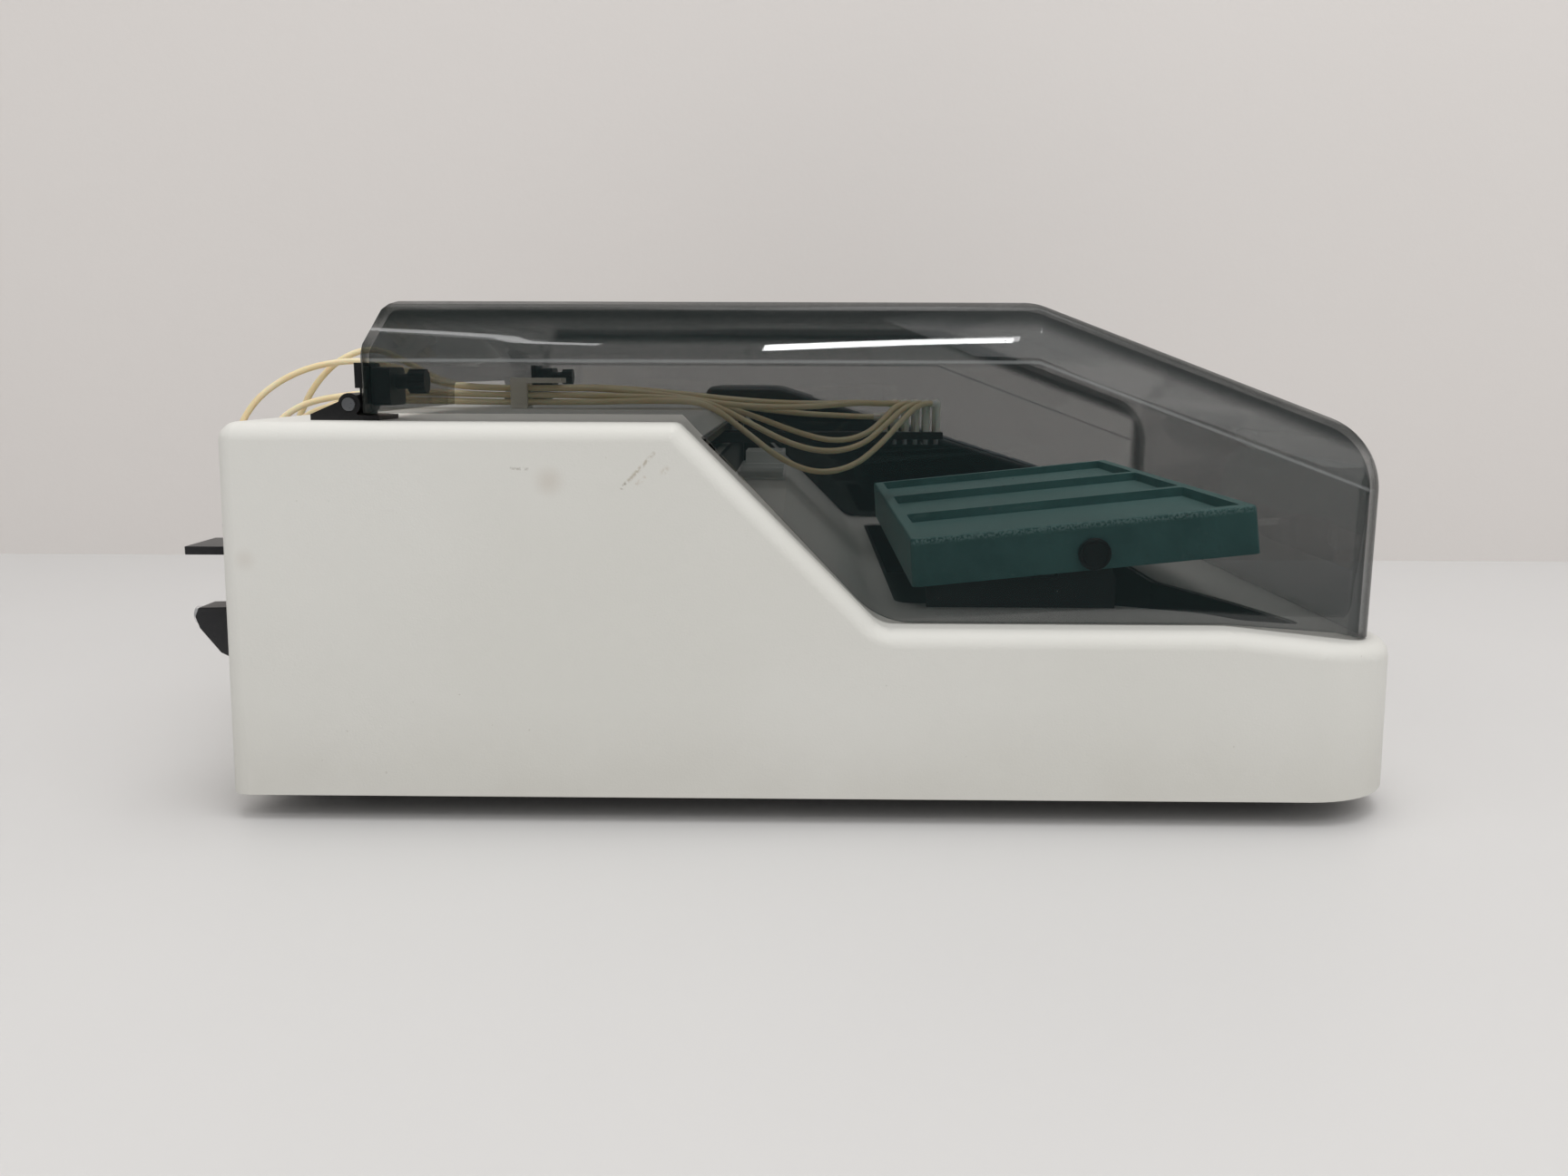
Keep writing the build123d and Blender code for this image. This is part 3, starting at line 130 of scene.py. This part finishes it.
class Maker:
    """Makes the nodes of a material or a world."""

    def __init__(self, owner):
        owner.use_nodes = True
        self.owner, self.tree = owner, owner.node_tree
        self.tree.nodes.clear()

    def node(self, kind, settings=None, sockets=None):
        """A node with its settings made first, then its sockets' values or links."""
        made = self.tree.nodes.new(kind)
        for key, value in (settings or {}).items():
            setattr(made, key, value)
        for key, value in (sockets or {}).items():
            socket = made.inputs[key]
            if isinstance(value, Wire):
                self.tree.links.new(value.socket, socket)
            else:
                socket.default_value = value
        return made

    def out(self, node, name):
        return Wire(self, node.outputs[name])

    def mixed(self, factor, first, second):
        """A surface or background between two others."""
        node = self.node("ShaderNodeMixShader", {}, {0: factor, 1: first, 2: second})
        return self.out(node, "Shader")


class Finish(Maker):
    """A material under construction."""

    def __init__(self, name):
        super().__init__(bpy.data.materials.new(name))
        self.place = self.out(self.node("ShaderNodeTexCoord"), "Object")

    def noise(self, scale, detail=3.0, rough=0.5, place=None):
        node = self.node("ShaderNodeTexNoise", {}, {
            "Vector": place or self.place, "Scale": scale, "Detail": detail, "Roughness": rough,
        })
        return self.out(node, "Fac")

    def stretched(self, scale):
        """Object coordinates drawn out along some axes."""
        node = self.node("ShaderNodeMapping", {}, {"Vector": self.place, "Scale": scale})
        return self.out(node, "Vector")

    def axis(self, letter):
        node = self.node("ShaderNodeSeparateXYZ", {}, {"Vector": self.place})
        return self.out(node, letter)

    def facing_up(self):
        """1 where the surface faces up, 0 on walls."""
        normal = self.out(self.node("ShaderNodeNewGeometry"), "Normal")
        return self.out(self.node("ShaderNodeSeparateXYZ", {}, {"Vector": normal}), "Z")

    def near(self, point, reach):
        """1 at a point of the object, 0 beyond its reach."""
        node = self.node("ShaderNodeVectorMath", {"operation": "DISTANCE"},
                         {0: self.place, 1: point})
        return 1 - self.out(node, "Value").ramp(0, reach)

    def scratch(self, start, end, width):
        """1 on a line drawn on the near wall, 0 beyond its width; its points are X and Z."""
        (x0, z0), (x1, z1) = start, end
        length = math.hypot(x1 - x0, z1 - z0)
        cos, sin = (x1 - x0) / length, (z1 - z0) / length
        x, z = self.axis("X") - x0, self.axis("Z") - z0
        along, across = x * cos + z * sin, (z * cos - x * sin).size()
        inside = along.between(0, width, length - width, length)
        near_wall = 1 - self.axis("Y").ramp(*near_wall_band)
        return inside * (1 - across.ramp(0, width)) * near_wall

    def blend(self, factor, first, second):
        """A colour between two colours."""
        node = self.node("ShaderNodeMix", {"data_type": "RGBA"}, {
            0: factor, 6: colour_of(first), 7: colour_of(second),
        })
        return Wire(self, node.outputs[2])

    def bump(self, height, distance, strength=1.0):
        node = self.node("ShaderNodeBump", {}, {
            "Height": height, "Distance": distance, "Strength": strength,
        })
        return self.out(node, "Normal")

    def principled(self, **sockets):
        """A surface shader: keyword names stand for its sockets, with _ for a space."""
        named = {key.replace("_", " "): value for key, value in sockets.items()}
        named["Base Color"] = colour_of(named["Base Color"])
        return self.out(self.node("ShaderNodeBsdfPrincipled", {}, named), "BSDF")

    def finished(self, surface):
        self.node("ShaderNodeOutputMaterial", {}, {"Surface": surface})
        return self.owner

    def close(self, **sockets):
        return self.finished(self.principled(**sockets))


def colour_of(value):
    """A colour link as it is, or three numbers with full opacity."""
    return value if isinstance(value, Wire) else (*value, 1.0)


# Marks on the near wall: ends (X, Z), width, strength and colour of each scratch
scratches = (
    ((-0.0655, 0.1265), (-0.0525, 0.1405), 0.0011, 0.55, (0.3, 0.24, 0.15)),
    ((-0.0655, 0.1265), (-0.063, 0.1292), 0.0009, 0.8, (0.12, 0.09, 0.05)),
    ((-0.0615, 0.1275), (-0.0555, 0.1315), 0.0012, 0.35, (0.4, 0.28, 0.17)),
    ((-0.051, 0.1315), (-0.0475, 0.1355), 0.0018, 0.35, (0.42, 0.35, 0.25)),
    ((-0.106, 0.1342), (-0.0985, 0.1338), 0.0008, 0.6, (0.25, 0.22, 0.18)),
)
# Middle, reach and strength of each smudge or dot
smudges = (
    ((-0.0915, -0.24, 0.1295), 0.008, 0.3), ((-0.0975, -0.24, 0.118), 0.0007, 0.7),
    ((-0.0955, -0.24, 0.118), 0.0009, 0.8), ((-0.205, -0.24, 0.1), 0.006, 0.2),
)
smudge_brown = (0.38, 0.29, 0.21)
near_wall_band = (-0.235, -0.225)
# Heights over which the housing turns darker towards its bottom edge
low_darkening_band = (0.01, 0.05)


# Finishes
def ivory_moulding():
    """White painted foam moulding: fine stipple, faint yellowing and a few scuffs."""
    f = Finish("ivory_moulding")
    cloud = f.noise(7, 4)
    base = f.blend(cloud.ramp(0.35, 0.75), (0.66, 0.655, 0.615), (0.69, 0.685, 0.65))
    # The housing is darkened in patches towards its bottom edge.
    low_darkening = 1 - f.axis("Z").ramp(*low_darkening_band)
    base = f.blend(low_darkening * f.noise(30, 5) * 0.5, base, (0.5, 0.48, 0.43))
    flecked = f.noise(700, 3, 0.6).ramp(0.4, 0.6)
    for start, end, width, strength, colour in scratches:
        base = f.blend(f.scratch(start, end, width) * flecked * strength, base, colour)
    for middle, reach, strength in smudges:
        base = f.blend(f.near(middle, reach) * strength, base, smudge_brown)
    speck = f.noise(420, 1).ramp(0.8, 0.84)
    base = f.blend(speck * 0.35, base, (0.35, 0.33, 0.29))
    stipple = f.noise(1300, 2)
    wave = f.noise(60, 2)
    return f.close(
        Base_Color=base, Roughness=0.42 + cloud * 0.12,
        Normal=f.bump(stipple * 0.5 + wave, 0.00035, 0.35), Specular_IOR_Level=0.4,
    )


def moulded(name, base, second, roughness, grain=900.0, depth=0.0002, level=0.5):
    """A moulded plastic or rubber with a fine grain and slight shade changes."""
    f = Finish(name)
    cloud = f.noise(25, 4)
    return f.close(
        Base_Color=f.blend(cloud.ramp(0.3, 0.7), base, second),
        Roughness=roughness + cloud * 0.12,
        Normal=f.bump(f.noise(grain, 3), depth, 0.4),
        Specular_IOR_Level=level,
    )


# The tray's tilt at rest, and where the painted highlight along its near top rim lies
tray_middle_x, tray_tilt = 0.118, 0.105
tray_rim_stops = (0.1075, 0.1095, 0.1103, 0.1113)
tray_near_band = (-0.195, -0.1925)


def green_tray():
    """Dark green tray material: mottled, with scratched bay floors, a painted highlight along the
    near top rim and upward faces painted lighter as if lit from above.
    """
    f = Finish("green_tray")
    mottle = f.noise(60, 5, 0.6)
    fine = f.noise(500, 3)
    base = f.blend(mottle.ramp(0.3, 0.7), (0.055, 0.18, 0.175), (0.08, 0.235, 0.225))
    scratch = f.noise(1, 4, 0.6, f.stretched((40, 900, 40))).ramp(0.62, 0.72)
    base = f.blend(scratch * 0.35, base, (0.2, 0.34, 0.32))
    speck = f.noise(700, 2).ramp(0.66, 0.74)
    base = f.blend(speck * 0.4, base, (0.2, 0.36, 0.34))
    above_tilt = f.axis("Z") - (f.axis("X") - tray_middle_x) * tray_tilt
    # A pale speckled band along the near top rim: a painted highlight.
    near_rim_highlight = above_tilt.between(*tray_rim_stops) * (1 - f.axis("Y").ramp(*tray_near_band))
    near_rim_highlight = near_rim_highlight * f.noise(900, 3).ramp(0.4, 0.6)
    base = f.blend(near_rim_highlight * 0.6, base, (0.42, 0.66, 0.62))
    # Faces that look up are painted lighter: painted light from above.
    painted_top_light = f.facing_up().ramp(0.6, 0.97)
    base = f.blend(painted_top_light * (0.6 + mottle * 0.3), base, (0.27, 0.5, 0.475))
    return f.close(
        Base_Color=base, Roughness=0.34 + mottle * 0.22,
        Normal=f.bump(fine + mottle * 0.6, 0.0004, 0.5), Specular_IOR_Level=0.5,
    )


def metal(name, base, roughness, along, metallic=1.0):
    """A turned or drawn metal with fine marks drawn out along one axis."""
    f = Finish(name)
    marks = f.noise(1, 4, 0.6, f.stretched(along))
    return f.close(
        Base_Color=f.blend(marks, base, tuple(0.85 * c for c in base)),
        Metallic=metallic, Roughness=roughness + marks * 0.15,
        Normal=f.bump(marks, 0.00005, 0.3),
    )


# Where the lid's panel, rim, crease, ends and skirt lie, in metres
lid_middle_y, lid_break_x, lid_fall = -0.045, 0.088, 0.373
panel_band, rim_band, skirt_band = (0.17, 0.177), (0.184, 0.191), (0.075, 0.105)
lid_front_band, lid_rear_band = (0.213, 0.218), (-0.165, -0.16)
lid_wall_band, crease_wall_band = (0.162, 0.168), (0.155, 0.162)
crease_stops = (0.1719, 0.1727, 0.1731, 0.1739)
skirt_shade = 0.14


def smoked_acrylic():
    """Smoked clear sheet: deeper in the drawn panels, glossy, with dust and soft waves; the rims are
    painted dark as a painted reflection, with pale streaks of painted highlight.
    """
    f = Finish("smoked_acrylic")
    edge = f.out(f.node("ShaderNodeFresnel", {}, {"IOR": 1.49}), "Fac")
    x, y, z = (f.axis(letter) for letter in "XYZ")
    panel = z.ramp(*panel_band)
    level = z + (x - lid_break_x).at_least(0) * lid_fall
    off_middle = (y - lid_middle_y).size()
    top = level.ramp(*rim_band)
    ends = x.ramp(*lid_front_band).at_least(1 - x.ramp(*lid_rear_band))
    # Where the rims are painted dark: a painted reflection.
    painted_rim_mask = off_middle.ramp(*lid_wall_band) * top.at_least(ends)
    # Pale vertical streaks on the end rims: painted highlights.
    painted_rim_glints = f.noise(1, 3, 0.6, f.stretched((420, 420, 9))).ramp(0.42, 0.6)
    painted_rim_glints = painted_rim_glints * ends * (1 - top)
    # A pale line painted along the crease: a painted highlight.
    crease_highlight = level.between(*crease_stops) * (1 - ends) * off_middle.ramp(*crease_wall_band)
    dust = f.noise(650, 2).ramp(0.75, 0.8)
    stain = f.noise(24, 5, 0.65).ramp(0.55, 0.8)
    swirl = f.noise(1, 4, 0.6, f.stretched((7, 30, 55))).ramp(0.4, 0.7)
    clear = (0.69 - panel * 0.09 - stain * 0.015) * (1 - edge * 0.4)
    clear = clear * (1 - swirl * panel * 0.06)
    clear = clear * (1 - skirt_shade + z.ramp(*skirt_band) * skirt_shade)
    base = f.blend(dust * 0.5, (0.002, 0.011, 0.0105), (0.28, 0.27, 0.25))
    base = f.blend(crease_highlight * 0.5, base, (0.42, 0.44, 0.44))
    waves = f.noise(1, 1, 0.5, f.stretched((5, 12, 22)))
    sheet = f.principled(
        Base_Color=base, Alpha=1 - clear * (1 - dust * 0.3) * (1 - crease_highlight * 0.25),
        Roughness=0.02 + stain * 0.05 + dust * 0.3,
        IOR=2.0, Normal=f.bump(waves, 0.004, 0.3),
    )
    # The painted dark rim with its pale painted highlight streaks, mixed in over the rims.
    painted_dark_rim = f.principled(
        Base_Color=f.blend(painted_rim_glints * 0.5, (0.012, 0.016, 0.015), (0.09, 0.085, 0.07)),
        Alpha=0.9 - painted_rim_glints * 0.1, Roughness=0.16 + painted_rim_glints * 0.1, IOR=1.3,
    )
    return f.finished(f.mixed(painted_rim_mask * 0.8, sheet, painted_dark_rim))


def soft_silicone():
    """Cream silicone tube, slightly see-through and dusty."""
    f = Finish("soft_silicone")
    shade = f.noise(45, 4)
    return f.close(
        Base_Color=f.blend(shade.ramp(0.35, 0.7), (0.76, 0.63, 0.37), (0.8, 0.71, 0.48)),
        Roughness=0.34 + shade * 0.15, Normal=f.bump(f.noise(900, 2), 0.0001, 0.3),
        Subsurface_Weight=0.25, Subsurface_Scale=0.002,
    )


def pale_polymer():
    """Natural fittings: milky and a little translucent."""
    f = Finish("pale_polymer")
    cloud = f.noise(90, 3)
    return f.close(
        Base_Color=f.blend(cloud, (0.88, 0.84, 0.73), (0.93, 0.9, 0.82)),
        Roughness=0.22 + cloud * 0.1, Subsurface_Weight=0.3, Subsurface_Scale=0.003,
        Normal=f.bump(f.noise(700, 2), 0.0001, 0.2),
    )


def clip_polymer():
    """Clear moulded clip that lets some light through."""
    f = Finish("clip_polymer")
    cloud = f.noise(120, 3)
    return f.close(
        Base_Color=f.blend(cloud, (0.8, 0.74, 0.62), (0.88, 0.83, 0.72)),
        Roughness=0.15 + cloud * 0.1, Alpha=0.6 + cloud * 0.1,
        Normal=f.bump(f.noise(400, 2), 0.0002, 0.3),
    )


def dark_window():
    """Dark display window with an even backing."""
    f = Finish("dark_window")
    smear = f.noise(40, 5).ramp(0.4, 0.8)
    return f.close(
        Base_Color=f.blend(smear * 0.3, (0.012, 0.018, 0.016), (0.035, 0.045, 0.04)),
        Roughness=0.08 + smear * 0.12, Normal=f.bump(f.noise(15, 1), 0.0005, 0.1),
    )


def circuit_board():
    """Green board with a copper pattern that is only suggested."""
    f = Finish("circuit_board")
    tracks = f.noise(1, 1, 0.5, f.stretched((260, 60, 10))).ramp(0.5, 0.53)
    return f.close(
        Base_Color=f.blend(tracks * 0.5, (0.02, 0.09, 0.035), (0.05, 0.17, 0.07)),
        Roughness=0.35 + tracks * 0.1, Normal=f.bump(tracks, 0.0001, 0.3),
    )


finishes = {
    "housing": ivory_moulding(),
    # The drip liner's black also stands in for the shadow and dark reflections in the pit under the
    # platform.
    "liner": moulded("black_liner", (0.008, 0.008, 0.009), (0.013, 0.013, 0.015), 0.3),
    # The base pan's black also stands in for the shadow under the housing.
    "base": moulded("pan_black", (0.012, 0.012, 0.012), (0.02, 0.02, 0.02), 0.5),
    "feet": moulded("foot_rubber", (0.012, 0.012, 0.012), (0.02, 0.02, 0.02), 0.7, 500, 0.0004),
    "steel": metal("bright_steel", (0.6, 0.6, 0.61), 0.22, (900, 40, 900)),
    "trough": moulded("trough_white", (0.62, 0.63, 0.6), (0.68, 0.69, 0.66), 0.35),
    "lid": smoked_acrylic(),
    "hinge": moulded("hinge_black", (0.009, 0.009, 0.01), (0.016, 0.016, 0.016), 0.35, 700, 0.0003),
    "platform": green_tray(),
    "black": moulded("fittings_black", (0.01, 0.01, 0.011), (0.018, 0.018, 0.02), 0.32),
    "brass": metal("turned_brass", (0.72, 0.52, 0.25), 0.25, (700, 60, 700)),
    "gear": moulded("gear_acetal", (0.7, 0.69, 0.64), (0.76, 0.75, 0.71), 0.3),
    "motor": moulded("motor_black", (0.02, 0.02, 0.022), (0.03, 0.03, 0.032), 0.3, 600),
    "carriage": metal("carriage_alloy", (0.62, 0.63, 0.64), 0.35, (60, 900, 60)),
    "fittings": pale_polymer(),
    "rubber": moulded("belt_rubber", (0.012, 0.012, 0.013), (0.02, 0.02, 0.02), 0.65, 500, 0.0003),
    "pump": moulded("pump_black", (0.02, 0.02, 0.022), (0.03, 0.03, 0.03), 0.2, 400),
    "metal_case": metal("zinc_case", (0.6, 0.61, 0.63), 0.35, (50, 50, 500)),
    "console": moulded("console_blue_black", (0.012, 0.017, 0.026), (0.02, 0.026, 0.036), 0.3, 800),
    "display": dark_window(),
    "keypad": moulded("keypad_grey", (0.1, 0.12, 0.14), (0.13, 0.15, 0.17), 0.4, 500),
    "chrome": metal("bright_chrome", (0.8, 0.8, 0.81), 0.12, (400, 400, 60), 0.6),
    "clip": clip_polymer(),
    "tube": soft_silicone(),
    "board": circuit_board(),
}


def dress(thing, finish):
    thing.data.materials.clear()
    thing.data.materials.append(finish)


for name, thing in nodes.items():
    chosen = finishes["board"] if name == "control_board" else finishes[slot_of_node[name]]
    if thing.material_slots:
        for row in thing.material_slots:
            row.material = chosen
    else:
        thing.data.materials.append(chosen)


# Smooth copies of the pieces that show
merge_distance = 0.000002
flat_angle, smooth_angle, sharp_angle = math.radians(0.5), math.radians(35), math.radians(42)


def only(thing):
    """Selects one piece and nothing else."""
    bpy.ops.object.select_all(action="DESELECT")
    thing.select_set(True)
    bpy.context.view_layer.objects.active = thing


def apply_modifier(thing, kind, **settings):
    only(thing)
    modifier = thing.modifiers.new(kind.lower(), kind)
    for key, value in settings.items():
        setattr(modifier, key, value)
    bpy.ops.object.modifier_apply(modifier=modifier.name)


def softened(node, edge):
    """A merged copy of a node with its sharp edges rounded, shown in its place."""
    copy = nodes[node].copy()
    copy.data = nodes[node].data.copy()
    copy.name = copy.data.name = node + "_form"
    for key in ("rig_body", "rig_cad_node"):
        del copy[key]
    copy.parent = None
    bpy.context.scene.collection.objects.link(copy)
    only(copy)
    bpy.ops.object.mode_set(mode="EDIT")
    bpy.ops.mesh.select_all(action="SELECT")
    bpy.ops.mesh.remove_doubles(threshold=merge_distance)
    bpy.ops.mesh.dissolve_limited(angle_limit=flat_angle)
    bpy.ops.object.mode_set(mode="OBJECT")
    if edge:
        apply_modifier(copy, "BEVEL", width=edge, segments=2, limit_method="ANGLE",
                       angle_limit=sharp_angle, harden_normals=False)
    only(copy)
    bpy.ops.object.shade_smooth_by_angle(angle=smooth_angle)
    apply_modifier(copy, "WEIGHTED_NORMAL", keep_sharp=True)
    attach(copy, body_of_node[node])
    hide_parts(node)


# Each piece with the width of its rounded edges, in metres
for node, edge in (
    ("housing", 0.0006), ("lid_shell", 0.0), ("platform", 0.0005), ("console_cover", 0.0),
    ("hinge_bases", 0.0003), ("hinge_leaves", 0.0003), ("hinge_clamps", 0.0002),
    ("hinge_knobs", 0.0002), ("pivot_caps", 0.0002), ("head_arm", 0.0004),
    ("manifold_bar", 0.0003), ("rear_bracket", 0.0005), ("rear_shelf", 0.0003),
    ("rear_grommet", 0.0), ("drip_liner", 0.0003), ("slot_panel", 0.0003),
    ("priming_trough", 0.0003), ("tube_clip", 0.0003), ("nozzle_barrels", 0.0),
    ("suction_fitting", 0.0), ("keypad", 0.0), ("mains_inlet", 0.0003),
):
    softened(node, edge)


# Soft tubes from the rear ports, through the clip, to the head; routes in millimetres
tube_radius = 0.0015
port_tip_x, port_z, port_first_y, port_pitch, port_stub = -230, 108, -110, 10, 9.5
clip_rear_x, clip_front_x, clip_near_y, clip_far_y = -156, -124, -62, -58.5
clip_rows_z = (160.4, 157, 153.6)
head_y, elbow_z, elbow_first_x, elbow_pitch = -20, 152.6, 50.1, 5.5
elbow_near, elbow_far = 5 * math.sqrt(0.5), 15 * math.sqrt(0.5)


def port_mouth(index):
    y = port_first_y + port_pitch * index
    return [(port_tip_x, y, port_z), (port_tip_x - port_stub, y, port_z)]


def through_clip(y, row):
    return [(clip_rear_x, y, clip_rows_z[row]), (clip_front_x, y, clip_rows_z[row])]


def nozzle_mouth(index):
    x = elbow_first_x + elbow_pitch * index
    return [(x - back, head_y - back, elbow_z) for back in (elbow_far, elbow_near)]


routes = {
    1: port_mouth(3)
    + [(-248, -80, 113), (-251, -80, 123), (-249, -80, 135), (-243, -79.5, 148),
       (-236, -78, 162), (-224, -74, 175), (-208, -69, 180.5), (-192, -64, 171.5),
       (-176, -60, 162.4)]
    + through_clip(clip_far_y, 0)
    + [(-104, -57.4, 161), (-84, -55, 160), (-62, -53, 158), (-38, -50, 155.3),
       (-12, -46, 153.2), (12, -41, 152.8), (29, -36, 153.4)]
    + nozzle_mouth(0),
    2: port_mouth(0)
    + [(-250, -110, 111), (-259, -109, 119), (-264.5, -106, 131), (-263, -101, 145),
       (-255, -95, 158), (-241, -88, 168), (-225, -81, 173), (-208, -74.5, 173.5),
       (-192, -69, 168.5), (-176, -64, 162)]
    + through_clip(clip_near_y, 0)
    + [(-104, -61.6, 160.6), (-84, -60.6, 159.2), (-62, -59.6, 156.6), (-37, -57.6, 152.6),
       (-11, -54, 151), (12, -48, 151.8), (30, -40, 153.4)]
    + nozzle_mouth(1),
    3: port_mouth(4)
    + [(-248, -70.2, 113), (-252, -70.4, 122.6), (-250.5, -70.4, 134), (-243, -70, 145),
       (-231, -69, 153), (-213, -67, 156.8), (-194, -63, 158), (-175, -59.5, 157.6)]
    + through_clip(clip_far_y, 1)
    + [(-104, -56, 156.6), (-84, -51.5, 156.2), (-63, -47, 155), (-42, -41, 153.2),
       (-20, -34, 149.6), (3, -26, 147), (24, -20.4, 145.9), (35, -20, 145.4),
       (39, -20, 145.4)],
    4: port_mouth(1)
    + [(-248, -100, 112.6), (-253, -99.8, 122), (-252.5, -99.4, 134), (-246, -98.5, 146),
       (-234, -95, 154), (-215, -88, 157.6), (-195, -77.5, 159), (-175, -66, 158.4)]
    + through_clip(clip_near_y, 1)
    + [(-104, -63.4, 157), (-84, -65, 156.6), (-64, -65.4, 156), (-45, -64.5, 154),
       (-24, -62, 143), (-4, -58, 132.5), (15, -53, 128.4), (32, -48.5, 132), (44, -42, 142)]
    + nozzle_mouth(3),
    5: port_mouth(5)
    + [(-247.6, -60.2, 113), (-251, -60.2, 122.4), (-248.5, -60.2, 133.6), (-241.6, -60, 143),
       (-230.6, -59.6, 150.8), (-214, -59, 154.4), (-195, -58, 154.6), (-175, -57.8, 154.2)]
    + through_clip(clip_far_y, 2)
    + [(-104, -58.4, 153.8), (-84, -57, 154), (-64, -55.2, 154.2), (-44, -53.6, 153.2),
       (-22, -52, 146.4), (-2, -49.6, 138.6), (17, -47, 133.6), (33, -43.5, 136.4),
       (43.6, -37.6, 145)]
    + nozzle_mouth(2),
    6: port_mouth(2)
    + [(-247.8, -90.2, 113), (-251.5, -90.2, 122.6), (-249.5, -90, 133.6),
       (-242.6, -89.6, 143), (-231.6, -87.6, 150.8), (-214, -82, 154.2), (-195, -74, 154.4),
       (-175, -66, 154)]
    + through_clip(clip_near_y, 2)
    + [(-104, -64.5, 153.8), (-84, -69, 154.4), (-64, -73, 155), (-45, -74, 153.8),
       (-27, -72, 140), (-9, -68, 125.5), (9, -62, 118.4), (27, -56, 121.5),
       (41, -50, 132.5), (52, -42, 144)]
    + nozzle_mouth(4),
}

for number, points in routes.items():
    route = bpy.data.curves.new(f"tube_route_{number}", "CURVE")
    route.dimensions = "3D"
    spline = route.splines.new("NURBS")
    spline.points.add(len(points) - 1)
    for control, point in zip(spline.points, points):
        control.co = (*(0.001 * c for c in point), 1)
    spline.order_u = 3
    spline.use_endpoint_u = True
    spline.resolution_u = 8
    hose = bpy.data.objects.new(f"soft_tube_{number}", route)
    bpy.context.scene.collection.objects.link(hose)
    bpy.context.view_layer.update()
    line = bpy.data.meshes.new_from_object(hose)
    bpy.data.meshes.remove(line)
    route.bevel_depth = tube_radius
    route.bevel_resolution = 3
    route.use_fill_caps = True
    only(hose)
    bpy.ops.object.convert(target="MESH")
    hose = bpy.context.object
    hose.name = f"soft_tube_{number}"
    dress(hose, finishes["tube"])
    bpy.ops.object.shade_smooth_by_angle(angle=math.radians(50))
    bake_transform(hose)
    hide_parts(f"tube_{number}")


# Bench, far wall and light
def stage_plane(name, width, depth, location, rotation, finish):
    bpy.ops.mesh.primitive_plane_add(size=1, location=location, rotation=rotation)
    plane = bpy.context.object
    plane.scale = (width, depth, 1)
    bpy.ops.object.transform_apply(location=False, rotation=False, scale=True)
    plane.name = name
    dress(plane, finish)


def bench_top():
    f = Finish("bench_top")
    cloud = f.noise(3, 3)
    return f.close(
        Base_Color=f.blend(cloud, (0.615, 0.61, 0.605), (0.645, 0.64, 0.635)),
        Roughness=0.42 + cloud * 0.05, Normal=f.bump(f.noise(300, 2), 0.0002, 0.1),
    )


def painted_wall():
    """Pale wall paint, clear when looked through from behind."""
    f = Finish("painted_wall")
    shade = f.noise(2, 3)
    paint = f.principled(
        Base_Color=f.blend(shade, (0.69, 0.66, 0.64), (0.72, 0.69, 0.67)),
        Roughness=0.8, Normal=f.bump(f.noise(160, 3), 0.0004, 0.3),
    )
    behind = f.out(f.node("ShaderNodeNewGeometry"), "Backfacing")
    clear = f.out(f.node("ShaderNodeBsdfTransparent"), "BSDF")
    return f.finished(f.mixed(behind, paint, clear))


bench_front, wall_y, room_width = -0.64, 0.452, 9
stage_plane(
    "bench", room_width, wall_y - bench_front, (0, (wall_y + bench_front) / 2, 0), (0, 0, 0),
    bench_top(),
)
stage_plane(
    "wall", room_width, room_width, (0, wall_y, room_width / 2), (math.radians(90), 0, 0),
    painted_wall(),
)

# Pale room light, with a dimmer room in the reflections
world = bpy.data.worlds.new("room")
bpy.context.scene.world = world
sky = Maker(world)
room, dim_room = (
    sky.out(sky.node("ShaderNodeBackground", {}, {"Color": (*colour, 1), "Strength": 1.0}),
            "Background")
    for colour in ((0.79, 0.78, 0.77), (0.11, 0.115, 0.12))
)
glossy_ray = sky.out(sky.node("ShaderNodeLightPath"), "Is Glossy Ray")
sky.node("ShaderNodeOutputWorld", {}, {"Surface": sky.mixed(glossy_ray, room, dim_room)})


def lamp(name, place, aim, width, depth, power):
    """A rectangular lamp at a place, turned towards a point."""
    bpy.ops.object.light_add(type="AREA", location=place)
    light = bpy.context.object
    light.name = name
    light.rotation_mode = "QUATERNION"
    light.rotation_quaternion = (Vector(aim) - Vector(place)).to_track_quat("-Z", "Y")
    light.data.shape = "RECTANGLE"
    light.data.size, light.data.size_y = width, depth
    light.data.energy = power


# The strips show as bars in the lid's near panel
lamp("ceiling", (0.2, -0.35, 2.3), (0, -0.05, 0), 1.5, 1.5, 20)
lamp("pale_ceiling", (1.5, -1.7, 2.3), (0.1, -0.2, 0.17), 2.2, 1.6, 9)
lamp("strip", (0.38, -2.2, 2.4), (0.04, -0.222, 0.177), 0.7, 0.09, 4)
lamp("second_strip", (-0.9, -1.9, 2.4), (-0.1, -0.222, 0.177), 0.9, 0.04, 0.5)
